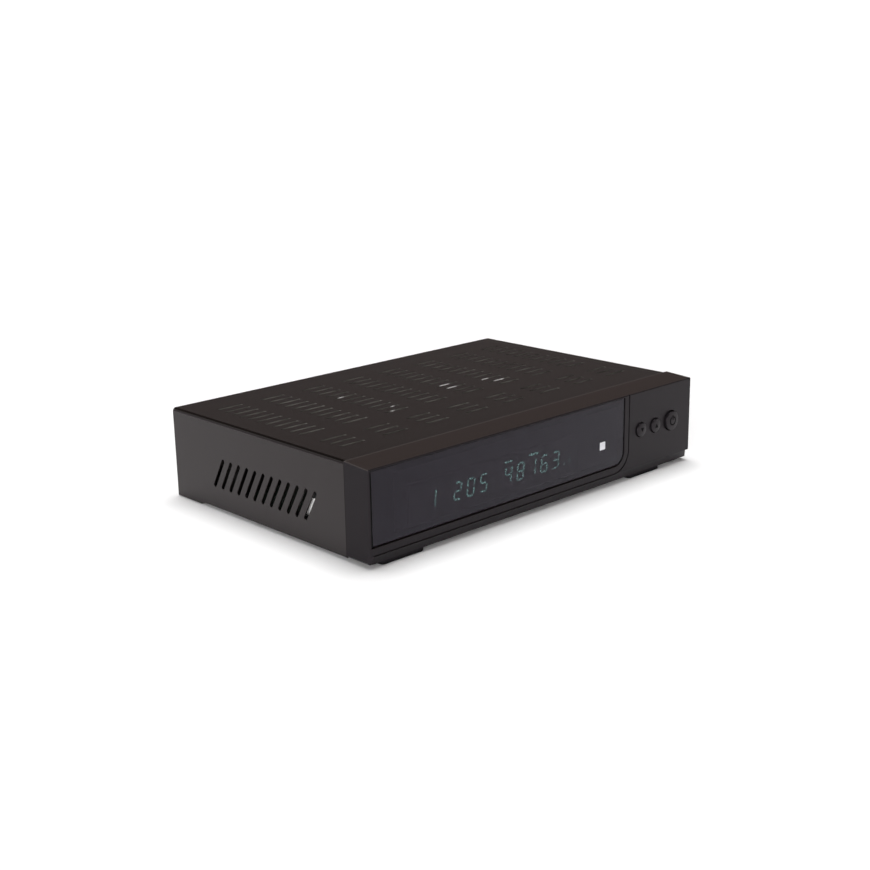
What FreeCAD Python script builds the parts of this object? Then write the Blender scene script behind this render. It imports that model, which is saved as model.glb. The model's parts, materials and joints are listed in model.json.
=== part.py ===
import FreeCAD, Part
import math
import os

# Cable tv receiver, millimetres. +Z is up, the front panel faces -Y, and X runs from left to right
# as seen from the front. The origin is the middle of the whole outline, on the surface it stands on.

V = FreeCAD.Vector

# Outer form
overall_width = 260.0
body_depth = 171.0
cover_top = 52.8
foot_height = 2.1
cover_inset = 0.5
bezel_depth = 18.0
bezel_front_drop = 0.7
bezel_rear_rise = 0.4
bezel_gap = 0.2

# Sheet metal
cover_sheet = 0.8
cover_bend = 2.2
cover_rear_round = 0.7
skirt_drop = 0.2
tab_drop = 1.6
tab_length = 24.0
tab_slope = 4.5
rear_flange_height = 8.4
rear_flange_inset = 3.0
tray_sheet = 0.8
tray_bend = 1.6
tray_side_height = 8.9
tray_front_height = 13.0
tray_rear_height = 4.5
tray_corner_relief = 4.0
rear_sheet = 0.8
sheet_gap = 0.1
tray_side_gap = 0.5
tray_front_gap = 0.4
tray_vent_length = 40.0
tray_vent_width = 2.5
tray_vent_pitch = 6.0
tray_vent_count = 9

# Vent slots
top_slot_length = 17.5
top_slot_width = 2.0
top_slot_side_margin = 14.85
top_columns = 8
top_row_pitch = 7.42
top_rear_rows = 11
top_rear_row_depth = 147.0
top_front_rows = 3
top_front_row_depth = 54.6
side_slot_length = 20.0
side_slot_width = 2.5
side_slot_slant = 30.0
side_slots = 12
side_slot_pitch = 7.35
side_slot_first_depth = 46.9
side_slot_middle_z = 22.75
rear_slot_width = 2.4
rear_slot_pitch = 5.0
rear_slot_top_margin = 2.2
rear_vent_gap = 6.0

# Front panel moulding
bezel_wall = 2.0
bezel_front_wall = 3.2
chin_height = 4.7
chin_setback = 1.8
chin_corner_width = 3.4
chin_corner_depth = 3.0
chin_side_chamfer = 1.2
bezel_edge_round = 0.6
tongue_thickness = 1.4
tongue_reach = 6.0
tongue_gap = 0.3
tongue_end_inset = 14.0
tongue_corner_drop = 5.6

# Display window and the band round it
window_left = 1.3
window_right_from_side = 64.1
window_bottom = 12.2
window_top = 50.9
window_thickness = 2.0
window_setback = 0.1
window_corner = 7.2
window_fit_gap = 0.25
moat_width = 1.25
band_width = 3.5
groove_width = 0.9
groove_depth = 0.8
opening_left_margin = 16.0
opening_right_margin = 4.0
opening_bottom_margin = 3.0
opening_top_margin = 4.0

# Buttons
power_from_right = 19.2
power_to_up = 15.2
up_to_down = 13.6
button_row_z = 29.0
power_cap_diameter = 11.6
power_hole_diameter = 12.8
power_proud = 2.0
small_cap_diameter = 8.4
small_hole_diameter = 9.4
small_proud = 1.5
button_travel = 0.5
button_dome = 0.5
button_edge_round = 0.45
button_flange_lap = 1.0
button_flange_thickness = 1.0
button_flange_gap = 0.2
button_stem_diameter = 4.0
mark_depth = 0.25
power_mark_radius = 2.3
power_mark_line = 0.6
power_mark_gap = 1.9
power_bar_low = 0.5
power_bar_high = 3.3
arrow_mark_width = 2.6
arrow_mark_height = 2.2

# Front board and what it carries
front_board_thickness = 1.6
front_board_depth = 12.0
front_board_side_gap = 4.0
front_board_bottom = 11.8
front_board_top = 47.0
post_diameter = 7.0
post_inset_x = 11.0
post_inset_z = 4.0
front_screw_radius = 1.3
key_switch_side = 6.0
key_switch_height = 4.0
plunger_diameter = 3.5
plunger_gap = 0.05
plunger_reach = 1.1
plunger_inside = 2.0
plunger_end_gap = 0.3
display_left = 32.0
display_from_window_right = 35.9
display_height = 22.0
display_middle_z = 24.6
display_front_depth = 3.6
display_glass_wall = 1.1
display_glass_depth = 3.4
display_glass_inset = 1.0
display_glass_corner = 1.0
display_plate_thickness = 2.0
display_pin_count = 32
display_pin_margin = 4.0
display_pin_width = 0.5
display_pin_thickness = 0.3
display_pin_drop = 1.0
foam_height = 10.0
receiver_from_window_right = 11.9
receiver_z = 25.0
receiver_width = 7.0
receiver_body_depth = 4.5
receiver_dome_radius = 2.4

# Screws; the cross recess and the head's round edge are shares of the head's radius and height
screw_play = 0.05
cross_arm_share = 0.6
cross_blade_share = 0.16
cross_floor_share = 0.45
head_round_share = 0.45
case_screw_radius = 1.45
case_screw_head_radius = 2.8
case_screw_head_height = 2.0
case_screw_length = 5.0
board_screw_radius = 1.45
board_screw_head_radius = 2.7
board_screw_head_height = 1.8
board_screw_length = 5.5
small_screw_head_radius = 2.3
small_screw_head_height = 1.6
front_screw_length = 6.0
hole_play = 0.2
cover_screw_count = 3
cover_screw_pitch = 100.0
rear_screw_inset = 8.5
rear_screw_height = 5.0
bezel_screw_height = 8.3
bezel_screw_inset = 30.0
bezel_screw_count = 4
screw_block_width = 8.0

# Feet
foot_length = 29.0
foot_width = 12.0
foot_corner = 2.0
foot_left_from_side = 23.8
foot_right_from_side = 41.25
front_foot_depth = 1.9
rear_foot_from_back = 13.0

# Boards in the case
standoff_height = 5.0
standoff_flats = 5.8
standoff_floor = 0.5
board_thickness = 1.6
board_hole_inset = 5.0
board_side_gap = 4.0
board_back_gap = 3.2
main_board_length = 113.0
power_board_width = 62.1
power_board_length = 88.0
power_board_back_gap = 19.5
screw_to_socket_gap = 2.4

# Rear sockets, side by side along the back of the main board; the room that the case leaves beside
# them is shared evenly among the gaps between them, the board's two edges and the gap to the power board
socket_proud = 0.7
cutout_gap = 0.3
tuner_width = 33.0
tuner_length = 48.0
tuner_height = 14.0
tuner_wall = 0.5
tuner_lid_rim = 2.5
port_spacing = 17.0
port_radius = 4.76
port_bore_radius = 3.2
port_reach = 12.0
port_contact_radius = 0.6
port_insert_setback = 0.8
port_relief_width = 0.5
port_relief_depth = 0.3
nut_flats = 11.1
nut_thickness = 2.4
av_width = 47.5
av_height = 15.5
av_depth = 13.0
av_wall = 0.6
av_slant = 5.4
av_core_gap = 1.6
av_core_setback = 2.0
av_core_slant = 3.1
av_slot_count = 10
av_slot_pitch = 3.8
av_slot_width = 0.9
av_slot_height = 3.2
av_slot_depth = 8.0
av_row_spacing = 5.2
phono_width = 27.0
phono_height = 28.0
phono_depth = 12.0
phono_column_spacing = 13.5
phono_row_spacing = 13.5
phono_first_row = 7.5
phono_shell_radius = 4.15
phono_shell_wall = 0.5
phono_relief_width = 0.5
phono_relief_depth = 0.2
phono_reach = 9.5
phono_collar_radius = 5.4
phono_collar_height = 1.6
phono_hole_radius = 1.65
network_width = 16.0
network_height = 13.5
network_depth = 21.5
network_cavity_width = 11.8
network_cavity_height = 6.8
network_cavity_depth = 13.5
network_cavity_bottom = 3.6
network_notch_width = 6.2
network_notch_height = 1.8
contact_count = 8
contact_pitch = 1.02
contact_width = 0.4
contact_rise = 1.9
contact_setback = 3.0
contact_thickness = 0.5
video_width = 15.2
video_height = 6.1
video_depth = 12.0
video_wall = 0.5
video_corner = 2.0
video_tongue_thickness = 1.1
video_tongue_height = 3.05
serial_width = 14.0
serial_height = 6.6
serial_depth = 14.0
serial_wall = 0.4
serial_tongue_thickness = 1.9
serial_tongue_height = 4.4
tongue_setback = 0.8
tongue_side_gap = 1.2

# Mains inlet and switch, the inlet measured from the power board's left edge, the switch from its right
inlet_from_left = 24.0
inlet_middle_z = 21.5
inlet_flange_width = 26.0
inlet_flange_height = 16.0
inlet_flange_thickness = 2.0
inlet_flange_corner = 2.5
inlet_body_width = 22.0
inlet_body_height = 13.0
inlet_body_depth = 17.0
inlet_lobe_radius = 4.3
inlet_lobe_spacing = 8.6
inlet_waist = 6.7
inlet_recess_depth = 14.0
inlet_pin_radius = 1.18
inlet_pin_length = 10.0
inlet_pin_round = 0.7
switch_from_right = 14.0
switch_middle_z = 22.0
switch_flange_width = 15.0
switch_flange_height = 21.0
switch_flange_thickness = 2.0
switch_flange_corner = 1.0
switch_body_width = 12.8
switch_body_height = 19.0
switch_body_depth = 13.0
switch_tab_rise = 5.0
rocker_width = 10.4
rocker_side_gap = 0.25
rocker_pivot_inset = 2.2
rocker_corner_out = 4.4
rocker_corner_up = 7.4
rocker_dip = 3.1
rocker_back = 1.5
rocker_swing = 20.0
rocker_end_gap = 0.2
rocker_pin_radius = 1.2
rocker_pin_reach = 0.8
pivot_play = 0.05
rocker_cavity_depth = 6.4

# Chips and capacitors on the main board, places measured from its left front corner
processor_x = 108.0
processor_y = 44.0
processor_side = 24.0
processor_height = 2.2
memory_x = 139.0
memory_spacing = 18.0
memory_width = 10.0
memory_length = 12.0
memory_height = 1.2
flash_x = 78.0
flash_width = 8.0
flash_length = 6.0
flash_height = 1.8
sink_side = 30.0
sink_base = 2.5
sink_height = 14.0
sink_fin_count = 8
sink_fin_thickness = 1.4
can_edge_round = 0.6
main_board_cans = [
    (30.0, 20.0, 4.0, 12.0),
    (44.0, 20.0, 4.0, 12.0),
    (60.0, 30.0, 3.2, 11.0),
    (146.0, 18.0, 5.0, 16.0),
    (134.0, 18.0, 4.0, 12.0),
    (60.0, 60.0, 3.2, 11.0),
    (150.0, 66.0, 3.2, 11.0),
]

# Pieces on the power board, places measured from its left front corner
power_board_cans = [
    (51.5, 62.0, 9.0, 30.0),
    (8.0, 44.0, 4.0, 16.0),
    (8.0, 56.0, 4.0, 16.0),
    (8.0, 68.0, 4.0, 16.0),
]
transformer_x = 28.0
transformer_y = 56.0
transformer_lift = 12.0
core_width = 28.0
core_length = 26.0
core_height = 8.0
core_leg = 8.0
core_rim = 4.0
winding_gap = 0.2
winding_height = 20.0
winding_corner = 2.0
winding_play = 0.15
winding_foot = 3.0
power_sink_x = 34.0
power_sink_y = 16.0
power_sink_width = 40.0
power_sink_height = 32.0
power_sink_thickness = 2.5
power_fin_reach = 8.0
power_fin_count = 6
power_fin_thickness = 1.5
power_fin_lift = 4.0
transistor_width = 10.0
transistor_lift = 5.0
transistor_tab_height = 15.5
transistor_tab_thickness = 1.3
transistor_body_height = 9.0
transistor_body_thickness = 4.5
fuse_x = 56.0
fuse_y = 40.0
fuse_lift = 6.0
fuse_glass_radius = 2.3
fuse_glass_length = 10.0
fuse_cap_radius = 2.6
fuse_cap_length = 5.0
fuse_clip_width = 6.8
fuse_clip_inset = 0.6

# Plug housings and leads
header_height = 5.0
header_width = 5.0
header_end_margin = 1.0
header_screw_gap = 0.2
main_header_inset_x = 2.6
main_header_inset_y = 6.0
supply_header_offset = 21.0
supply_header_length = 13.0
supply_header_inset = 6.0
supply_lead_count = 4
supply_lead_pitch = 2.5
supply_lead_radius = 0.75
supply_lead_rise = 9.0
supply_lead_bend = 4.0
mains_header_from_right = 26.0
mains_header_inset = 6.0
mains_header_width = 9.0
mains_header_length = 6.0
mains_pin_spacing = 4.0
mains_lead_radius = 0.9
mains_lead_bend = 2.3
mains_lead_run = 6.0

# The flat front cable's middle line, between its two plugs: x from the left side, depth from the
# front, height
cable_width = 7.0
cable_thickness = 1.3
cable_points = [
    (9.3, 27.0, 35.6),
    (6.8, 35.0, 34.2),
    (4.9, 42.0, 31.6),
    (4.3, 47.5, 27.8),
    (4.3, 52.4, 20.3),
]

# Worked out from the above
half_width = overall_width / 2
small_step = 1.0
rear_outer_depth = body_depth - cover_sheet - sheet_gap
whole_depth = power_proud + rear_outer_depth + port_reach
front_y = power_proud - whole_depth / 2
bezel_back = front_y + bezel_depth
cover_front = bezel_back + bezel_gap
cover_back = front_y + body_depth
rear_outer = front_y + rear_outer_depth
rear_inner = rear_outer - rear_sheet
tray_back = rear_inner - sheet_gap
tray_front = bezel_back + tray_front_gap
cover_half = half_width - cover_inset
tray_half = cover_half - cover_sheet - tray_side_gap
bezel_top_front = cover_top - bezel_front_drop
bezel_top_rear = cover_top + bezel_rear_rise
tray_top = foot_height + tray_sheet
board_bottom = tray_top + standoff_height
board_top = board_bottom + board_thickness
board_left = -half_width + board_side_gap
board_back = rear_inner - board_back_gap
board_front = board_back - main_board_length
socket_widths = [tuner_width, av_width, phono_width, network_width, video_width, serial_width]
row_room = overall_width - 2 * board_side_gap - power_board_width - sum(socket_widths)
row_gap = row_room / (len(socket_widths) + 2)
tuner_left = board_left + row_gap
av_left = tuner_left + tuner_width + row_gap
phono_left = av_left + av_width + row_gap
network_left = phono_left + phono_width + row_gap
video_left = network_left + network_width + row_gap
serial_left = video_left + video_width + row_gap
board_right = serial_left + serial_width + row_gap
power_left = board_right + row_gap
power_right = power_left + power_board_width
power_back = rear_inner - power_board_back_gap
power_front = power_back - power_board_length
front_board_y = front_y + front_board_depth
front_board_back = front_board_y + front_board_thickness
power_x = half_width - power_from_right
up_x = power_x - power_to_up
down_x = up_x - up_to_down
port_z = board_top + tuner_height / 2
tuner_back = rear_inner - sheet_gap
tuner_front = tuner_back - tuner_length
socket_face = rear_outer + socket_proud
inlet_x = power_left + inlet_from_left
switch_x = power_right - switch_from_right
front_header_x = -half_width + post_inset_x
front_header_z = (front_board_top - post_inset_z - small_screw_head_radius - header_screw_gap
                  - cable_width / 2 - header_end_margin)
main_header_x = board_left + main_header_inset_x
main_header_y = board_front + main_header_inset_y
supply_header_y = power_front + supply_header_offset
mains_header_x = power_right - mains_header_from_right
mains_header_y = power_back - mains_header_inset
rocker_pivot_y = rear_outer - rocker_pivot_inset
rocker_radius = math.hypot(rocker_corner_out, rocker_corner_up)


def box(x0, x1, y0, y1, z0, z1):
    return Part.makeBox(x1 - x0, y1 - y0, z1 - z0, V(x0, y0, z0))


def rod_x(y, z, radius, x0, x1):
    return Part.makeCylinder(radius, x1 - x0, V(x0, y, z), V(1, 0, 0))


def rod_y(x, z, radius, y0, y1):
    return Part.makeCylinder(radius, y1 - y0, V(x, y0, z), V(0, 1, 0))


def rod_z(x, y, radius, z0, z1):
    return Part.makeCylinder(radius, z1 - z0, V(x, y, z0), V(0, 0, 1))


def prism(points, travel):
    outline = Part.makePolygon(points + [points[0]])
    return Part.Face(outline).extrude(travel)


def prism_x(outline, x0, x1):
    return prism([V(x0, y, z) for y, z in outline], V(x1 - x0, 0, 0))


def prism_y(outline, y0, y1):
    return prism([V(x, y0, z) for x, z in outline], V(0, y1 - y0, 0))


def prism_z(outline, z0, z1):
    return prism([V(x, y, z0) for x, y in outline], V(0, 0, z1 - z0))


def obround(middle, along, across, travel, length, width):
    """A slot-shaped prism: middle of its first face, its two directions, and how far it runs."""
    straight = (length - width) / 2
    side = across * (width / 2)
    a = middle - along * straight
    b = middle + along * straight
    tip_a = a - along * (width / 2)
    tip_b = b + along * (width / 2)
    edges = [
        Part.LineSegment(a + side, b + side).toShape(),
        Part.Arc(b + side, tip_b, b - side).toShape(),
        Part.LineSegment(b - side, a - side).toShape(),
        Part.Arc(a - side, tip_a, a + side).toShape(),
    ]
    return Part.Face(Part.Wire(edges)).extrude(travel)


def rounded_edges(shape, radius, direction):
    """Rounds every straight edge of a block that runs along the direction."""
    chosen = []
    for edge in shape.Edges:
        run = edge.Vertexes[-1].Point - edge.Vertexes[0].Point
        if run.Length > 0 and abs(abs(run.dot(direction)) / run.Length - 1) < 1e-6:
            chosen.append(edge)
    return shape.makeFillet(radius, chosen)


def rounded_box(x0, x1, y0, y1, z0, z1, radius, direction):
    return rounded_edges(box(x0, x1, y0, y1, z0, z1), radius, direction)


def joined(shapes):
    return shapes[0].fuse(shapes[1:]).removeSplitter()


def group(shapes):
    return Part.makeCompound(shapes)


def screw(seat, outward, radius, head_radius, head_height, length):
    """A pan head screw with a cross recess: seat is the middle of the head's underside."""
    head = Part.makeCylinder(head_radius, head_height, V(0, 0, 0), V(0, 0, 1))
    head = head.makeFillet(head_height * head_round_share,
                           [e for e in head.Edges if e.CenterOfMass.z > head_height - 1e-6])
    shank = Part.makeCylinder(radius, length, V(0, 0, -length), V(0, 0, 1))
    body = joined([head, shank])
    arm = head_radius * cross_arm_share
    blade = head_radius * cross_blade_share
    floor = head_height * cross_floor_share
    cross = [
        box(-arm, arm, -blade, blade, floor, head_height + small_step),
        box(-blade, blade, -arm, arm, floor, head_height + small_step),
    ]
    body = body.cut(cross)
    body.Placement = FreeCAD.Placement(seat, FreeCAD.Rotation(V(0, 0, 1), outward))
    return body


def hexagon_z(x, y, flats, z0, z1):
    corner = flats / math.sqrt(3)
    outline = []
    for step in range(6):
        turn = math.radians(60 * step)
        outline.append((x + corner * math.cos(turn), y + corner * math.sin(turn)))
    return prism_z(outline, z0, z1)


def tube_along(points, bend, radius):
    """A round lead through the points, its corners rounded by tangent arcs."""
    edges = []
    start = points[0]
    for before, corner, after in zip(points, points[1:], points[2:]):
        to_before = (before - corner).normalize()
        to_after = (after - corner).normalize()
        half_angle = to_before.getAngle(to_after) / 2
        cut = bend / math.tan(half_angle)
        first = corner + to_before * cut
        last = corner + to_after * cut
        middle_line = (to_before + to_after).normalize()
        centre = corner + middle_line * (bend / math.sin(half_angle))
        edges.append(Part.LineSegment(start, first).toShape())
        edges.append(Part.Arc(first, centre - middle_line * bend, last).toShape())
        start = last
    edges.append(Part.LineSegment(start, points[-1]).toShape())
    path = Part.Wire(edges)
    circle = Part.Circle(points[0], points[1] - points[0], radius)
    profile = Part.Wire([circle.toShape()])
    return path.makePipeShell([profile], True, False)


def top_slot_places():
    """Middles of the cover's top slots, as x and y."""
    places = []
    pitch = (overall_width - 2 * top_slot_side_margin - top_slot_length) / (top_columns - 1)
    for column in range(top_columns):
        x = (column - (top_columns - 1) / 2) * pitch
        for row in range(top_rear_rows):
            places.append((x, front_y + top_rear_row_depth - row * top_row_pitch))
        for row in range(top_front_rows):
            places.append((x, front_y + top_front_row_depth - row * top_row_pitch))
    return places


def top_cover():
    """One folded sheet: top, two sides with a lower tab at the back, and a short rear flange."""
    skirt_bottom = foot_height - skirt_drop
    outer = box(-cover_half, cover_half, cover_front, cover_back, skirt_bottom, cover_top)
    outer = outer.makeFillet(cover_bend, [
        e for e in outer.Edges
        if abs(e.CenterOfMass.z - cover_top) < 1e-6 and abs(e.CenterOfMass.x) > cover_half - 1e-6
    ])
    inner_half = cover_half - cover_sheet
    inner_top = cover_top - cover_sheet
    inner = box(-inner_half, inner_half, cover_front - small_step, cover_back + small_step,
                skirt_bottom - small_step, inner_top)
    inner = inner.makeFillet(cover_bend - cover_sheet, [
        e for e in inner.Edges
        if abs(e.CenterOfMass.z - inner_top) < 1e-6 and abs(e.CenterOfMass.x) > inner_half - 1e-6
    ])
    pieces = [outer.cut(inner)]
    tab_bottom = foot_height - tab_drop
    tab_front = cover_back - tab_length
    tab = [
        (tab_front - tab_slope, skirt_bottom),
        (tab_front, tab_bottom),
        (cover_back, tab_bottom),
        (cover_back, skirt_bottom + small_step),
        (tab_front - tab_slope, skirt_bottom + small_step),
    ]
    pieces.append(prism_x(tab, -cover_half, -inner_half))
    pieces.append(prism_x(tab, inner_half, cover_half))
    flange_half = cover_half - rear_flange_inset
    flange_bottom = cover_top - rear_flange_height
    block = box(-flange_half, flange_half, cover_back - 3 * cover_sheet, cover_back, flange_bottom, cover_top)
    hollow = box(-flange_half - small_step, flange_half + small_step, cover_back - 4 * cover_sheet,
                 cover_back - cover_sheet, flange_bottom - small_step, inner_top)
    pieces.append(block.cut(hollow))
    cover = joined(pieces)
    corner = [
        e for e in cover.Edges
        if abs(e.CenterOfMass.z - cover_top) < 1e-6
        and abs(e.CenterOfMass.y - cover_back) < 1e-6
        and e.Length > flange_half
    ]
    cover = cover.makeFillet(cover_rear_round, corner)
    cuts = []
    for x, y in top_slot_places():
        cuts.append(obround(V(x, y, inner_top - small_step), V(1, 0, 0), V(0, 1, 0),
                            V(0, 0, cover_sheet + 2 * small_step), top_slot_length, top_slot_width))
    slant = math.radians(side_slot_slant)
    along = V(0, math.sin(slant), -math.cos(slant))
    across = V(0, math.cos(slant), math.sin(slant))
    for step in range(side_slots):
        y = front_y + side_slot_first_depth + step * side_slot_pitch
        cuts.append(obround(V(-cover_half - small_step, y, side_slot_middle_z), along, across,
                            V(cover_sheet + 2 * small_step, 0, 0), side_slot_length, side_slot_width))
        cuts.append(obround(V(inner_half - small_step, y, side_slot_middle_z), along, across,
                            V(cover_sheet + 2 * small_step, 0, 0), side_slot_length, side_slot_width))
    for x in cover_screw_places():
        cuts.append(rod_y(x, cover_screw_z(), case_screw_radius + hole_play, cover_back - 2 * cover_sheet,
                          cover_back + small_step))
    return cover.cut(cuts)


def cover_screw_places():
    return [(step - (cover_screw_count - 1) / 2) * cover_screw_pitch for step in range(cover_screw_count)]


def cover_screw_z():
    return cover_top - rear_flange_height / 2


def window_outline(right, bottom, corner, left, top, y0, y1):
    """A plate whose lower right corner is round, between two values of y."""
    short = corner * (1 - math.cos(math.pi / 4))
    edges = [
        Part.LineSegment(V(left, y0, top), V(right, y0, top)).toShape(),
        Part.LineSegment(V(right, y0, top), V(right, y0, bottom + corner)).toShape(),
        Part.Arc(V(right, y0, bottom + corner), V(right - short, y0, bottom + short),
                 V(right - corner, y0, bottom)).toShape(),
        Part.LineSegment(V(right - corner, y0, bottom), V(left, y0, bottom)).toShape(),
        Part.LineSegment(V(left, y0, bottom), V(left, y0, top)).toShape(),
    ]
    return Part.Face(Part.Wire(edges)).extrude(V(0, y1 - y0, 0))


def window_sides():
    return -half_width + window_left, half_width - window_right_from_side


def display_window():
    left, right = window_sides()
    face = front_y + window_setback
    return window_outline(right, window_bottom, window_corner, left, window_top, face,
                          face + window_thickness)


def bezel_screw_places():
    run = overall_width - 2 * bezel_screw_inset
    return [-run / 2 + step * run / (bezel_screw_count - 1) for step in range(bezel_screw_count)]


def post_places():
    xs = [-half_width + post_inset_x, half_width - post_inset_x]
    zs = [front_board_bottom + post_inset_z, front_board_top - post_inset_z]
    return [(x, z) for x in xs for z in zs]


def bezel_block():
    """The outer form: a sloping top, a chin that falls back at the foot, and rounded front edges."""
    sides = [
        (front_y, foot_height),
        (front_y, bezel_top_front),
        (bezel_back, bezel_top_rear),
        (bezel_back, foot_height),
    ]
    block = prism_x(sides, -half_width, half_width)
    soft = []
    for edge in block.Edges:
        middle = edge.CenterOfMass
        at_front = abs(middle.y - front_y) < 1e-6
        at_side = abs(abs(middle.x) - half_width) < 1e-6
        if at_front and middle.z > foot_height + 1e-6:
            soft.append(edge)
        elif at_side and middle.z > bezel_top_front - 1e-6:
            soft.append(edge)
    block = block.makeFillet(bezel_edge_round, soft)
    chin_top = foot_height + chin_height
    chin = [
        (front_y - small_step, chin_top),
        (front_y, chin_top),
        (front_y + chin_setback, foot_height),
        (front_y + chin_setback, foot_height - small_step),
        (front_y - small_step, foot_height - small_step),
    ]
    cuts = [prism_x(chin, -half_width - small_step, half_width + small_step)]
    for side in (-1, 1):
        corner = [
            (side * (half_width + small_step), front_y - small_step),
            (side * (half_width - chin_corner_width), front_y - small_step),
            (side * (half_width - chin_corner_width), front_y),
            (side * half_width, front_y + chin_corner_depth),
            (side * (half_width + small_step), front_y + chin_corner_depth),
        ]
        cuts.append(prism_z(corner, foot_height - small_step, chin_top))
        lower = [
            (side * (half_width - chin_side_chamfer), foot_height - small_step),
            (side * (half_width - chin_side_chamfer), foot_height),
            (side * half_width, foot_height + chin_side_chamfer),
            (side * (half_width + small_step), foot_height + chin_side_chamfer),
            (side * (half_width + small_step), foot_height - small_step),
        ]
        cuts.append(prism_y(lower, front_y - small_step, bezel_back + small_step))
    return block.cut(cuts)


def bezel_cuts():
    """What is taken out of the block: the hollow, the window seat, grooves, button holes."""
    left, right = window_sides()
    inner_front = front_y + bezel_front_wall
    floor = foot_height + bezel_wall
    ceiling = bezel_top_front - bezel_wall
    cuts = [box(-half_width + bezel_wall, half_width - bezel_wall, inner_front, bezel_back + small_step,
                floor, ceiling)]
    seat_right = right + moat_width
    seat_bottom = window_bottom - moat_width
    seat_back = front_y + window_setback + window_thickness
    cuts.append(window_outline(seat_right, seat_bottom, window_corner + moat_width, left - window_fit_gap,
                               window_top + window_fit_gap, front_y - small_step, seat_back))
    cuts.append(box(left + opening_left_margin, right - opening_right_margin, seat_back - small_step,
                    inner_front + small_step, window_bottom + opening_bottom_margin,
                    window_top - opening_top_margin))
    band_right = seat_right + band_width
    band_bottom = seat_bottom - band_width
    band_corner = window_corner + moat_width + band_width
    groove_end = front_y + groove_depth
    beyond = half_width + 2 * small_step
    outer = window_outline(band_right + groove_width, band_bottom - groove_width, band_corner + groove_width,
                           -beyond, cover_top + small_step, front_y - small_step, groove_end)
    inner = window_outline(band_right, band_bottom, band_corner, -beyond - small_step,
                           cover_top + 2 * small_step, front_y - 2 * small_step, groove_end + small_step)
    cuts.append(outer.cut(inner))
    for x, diameter in ((power_x, power_hole_diameter), (up_x, small_hole_diameter),
                        (down_x, small_hole_diameter)):
        cuts.append(rod_y(x, button_row_z, diameter / 2, front_y - small_step, inner_front + small_step))
    return cuts


def front_bezel():
    body = bezel_block().cut(bezel_cuts())
    inner_front = front_y + bezel_front_wall
    added = []
    for x, z in post_places():
        added.append(rod_y(x, z, post_diameter / 2, inner_front - small_step / 2, front_board_y))
    for x in bezel_screw_places():
        added.append(box(x - screw_block_width / 2, x + screw_block_width / 2, inner_front - small_step / 2,
                         bezel_back, foot_height + bezel_wall - small_step / 2,
                         front_board_bottom - sheet_gap))
    tongue_top = cover_top - cover_sheet - tongue_gap
    added.append(box(-half_width + tongue_end_inset, half_width - tongue_end_inset,
                     bezel_back - bezel_wall * 2, bezel_back + tongue_reach,
                     tongue_top - tongue_thickness, tongue_top))
    side_out = cover_half - cover_sheet - tongue_gap
    for side in (-1, 1):
        xs = sorted((side * side_out, side * (side_out - tongue_thickness)))
        added.append(box(xs[0], xs[1], bezel_back - bezel_wall * 2, bezel_back + tongue_reach,
                         foot_height + tray_front_height + small_step, tongue_top - tongue_corner_drop))
    body = joined([body] + added)
    holes = []
    for x, z in post_places():
        holes.append(rod_y(x, z, front_screw_radius + screw_play, inner_front + small_step,
                           front_board_y + small_step))
    for x in bezel_screw_places():
        holes.append(rod_y(x, bezel_screw_height, case_screw_radius + screw_play,
                           bezel_back - case_screw_length - small_step, bezel_back + small_step))
    return body.cut(holes)


def power_mark(face_y):
    """The sign cut into the power cap: an open ring and a short bar through its gap."""
    deep = mark_depth + button_dome + small_step
    ring = rod_y(power_x, button_row_z, power_mark_radius + power_mark_line / 2, face_y - small_step,
                 face_y - small_step + deep)
    hole = rod_y(power_x, button_row_z, power_mark_radius - power_mark_line / 2, face_y - 2 * small_step,
                 face_y + deep)
    gap = box(power_x - power_mark_gap / 2, power_x + power_mark_gap / 2, face_y - 2 * small_step,
              face_y + deep, button_row_z, button_row_z + 2 * power_mark_radius)
    bar = box(power_x - power_mark_line / 2, power_x + power_mark_line / 2, face_y - small_step,
              face_y - small_step + deep, button_row_z + power_bar_low, button_row_z + power_bar_high)
    return [ring.cut([hole, gap]), bar]


def arrow_mark(x, pointing, face_y):
    """A small triangle cut into a cap, pointing up or down."""
    tip = button_row_z + pointing * arrow_mark_height / 2
    base = button_row_z - pointing * arrow_mark_height / 2
    outline = [(x, tip), (x - arrow_mark_width / 2, base), (x + arrow_mark_width / 2, base)]
    return [prism_y(outline, face_y - small_step, face_y + mark_depth + button_dome)]


def button(x, cap_diameter, hole_diameter, proud, marks):
    """A cap with a slightly domed face, a flange behind the panel wall and a stem to the switch."""
    radius = cap_diameter / 2
    face = front_y - proud
    flange_front = front_y + bezel_front_wall + button_flange_gap
    flange_back = flange_front + button_flange_thickness
    cap = rod_y(x, button_row_z, radius, face, flange_front + small_step / 2)
    dome_radius = (radius * radius + button_dome * button_dome) / (2 * button_dome)
    dome = Part.makeSphere(dome_radius, V(x, face + dome_radius, button_row_z))
    barrel = rod_y(x, button_row_z, radius + small_step, face + radius / 2, flange_back + small_step)
    cap = cap.common(dome.fuse(barrel))
    rim = [e for e in cap.Edges if face < e.CenterOfMass.y < face + 2 * button_dome]
    cap = cap.makeFillet(button_edge_round, rim)
    flange = rod_y(x, button_row_z, hole_diameter / 2 + button_flange_lap, flange_front, flange_back)
    stem_end = front_board_y - key_switch_height - plunger_reach
    stem = rod_y(x, button_row_z, button_stem_diameter / 2, flange_back - small_step / 2, stem_end)
    return joined([cap, flange, stem]).cut(marks)


def power_button():
    return button(power_x, power_cap_diameter, power_hole_diameter, power_proud,
                  power_mark(front_y - power_proud))


def up_button():
    return button(up_x, small_cap_diameter, small_hole_diameter, small_proud,
                  arrow_mark(up_x, 1, front_y - small_proud))


def down_button():
    return button(down_x, small_cap_diameter, small_hole_diameter, small_proud,
                  arrow_mark(down_x, -1, front_y - small_proud))


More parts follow.
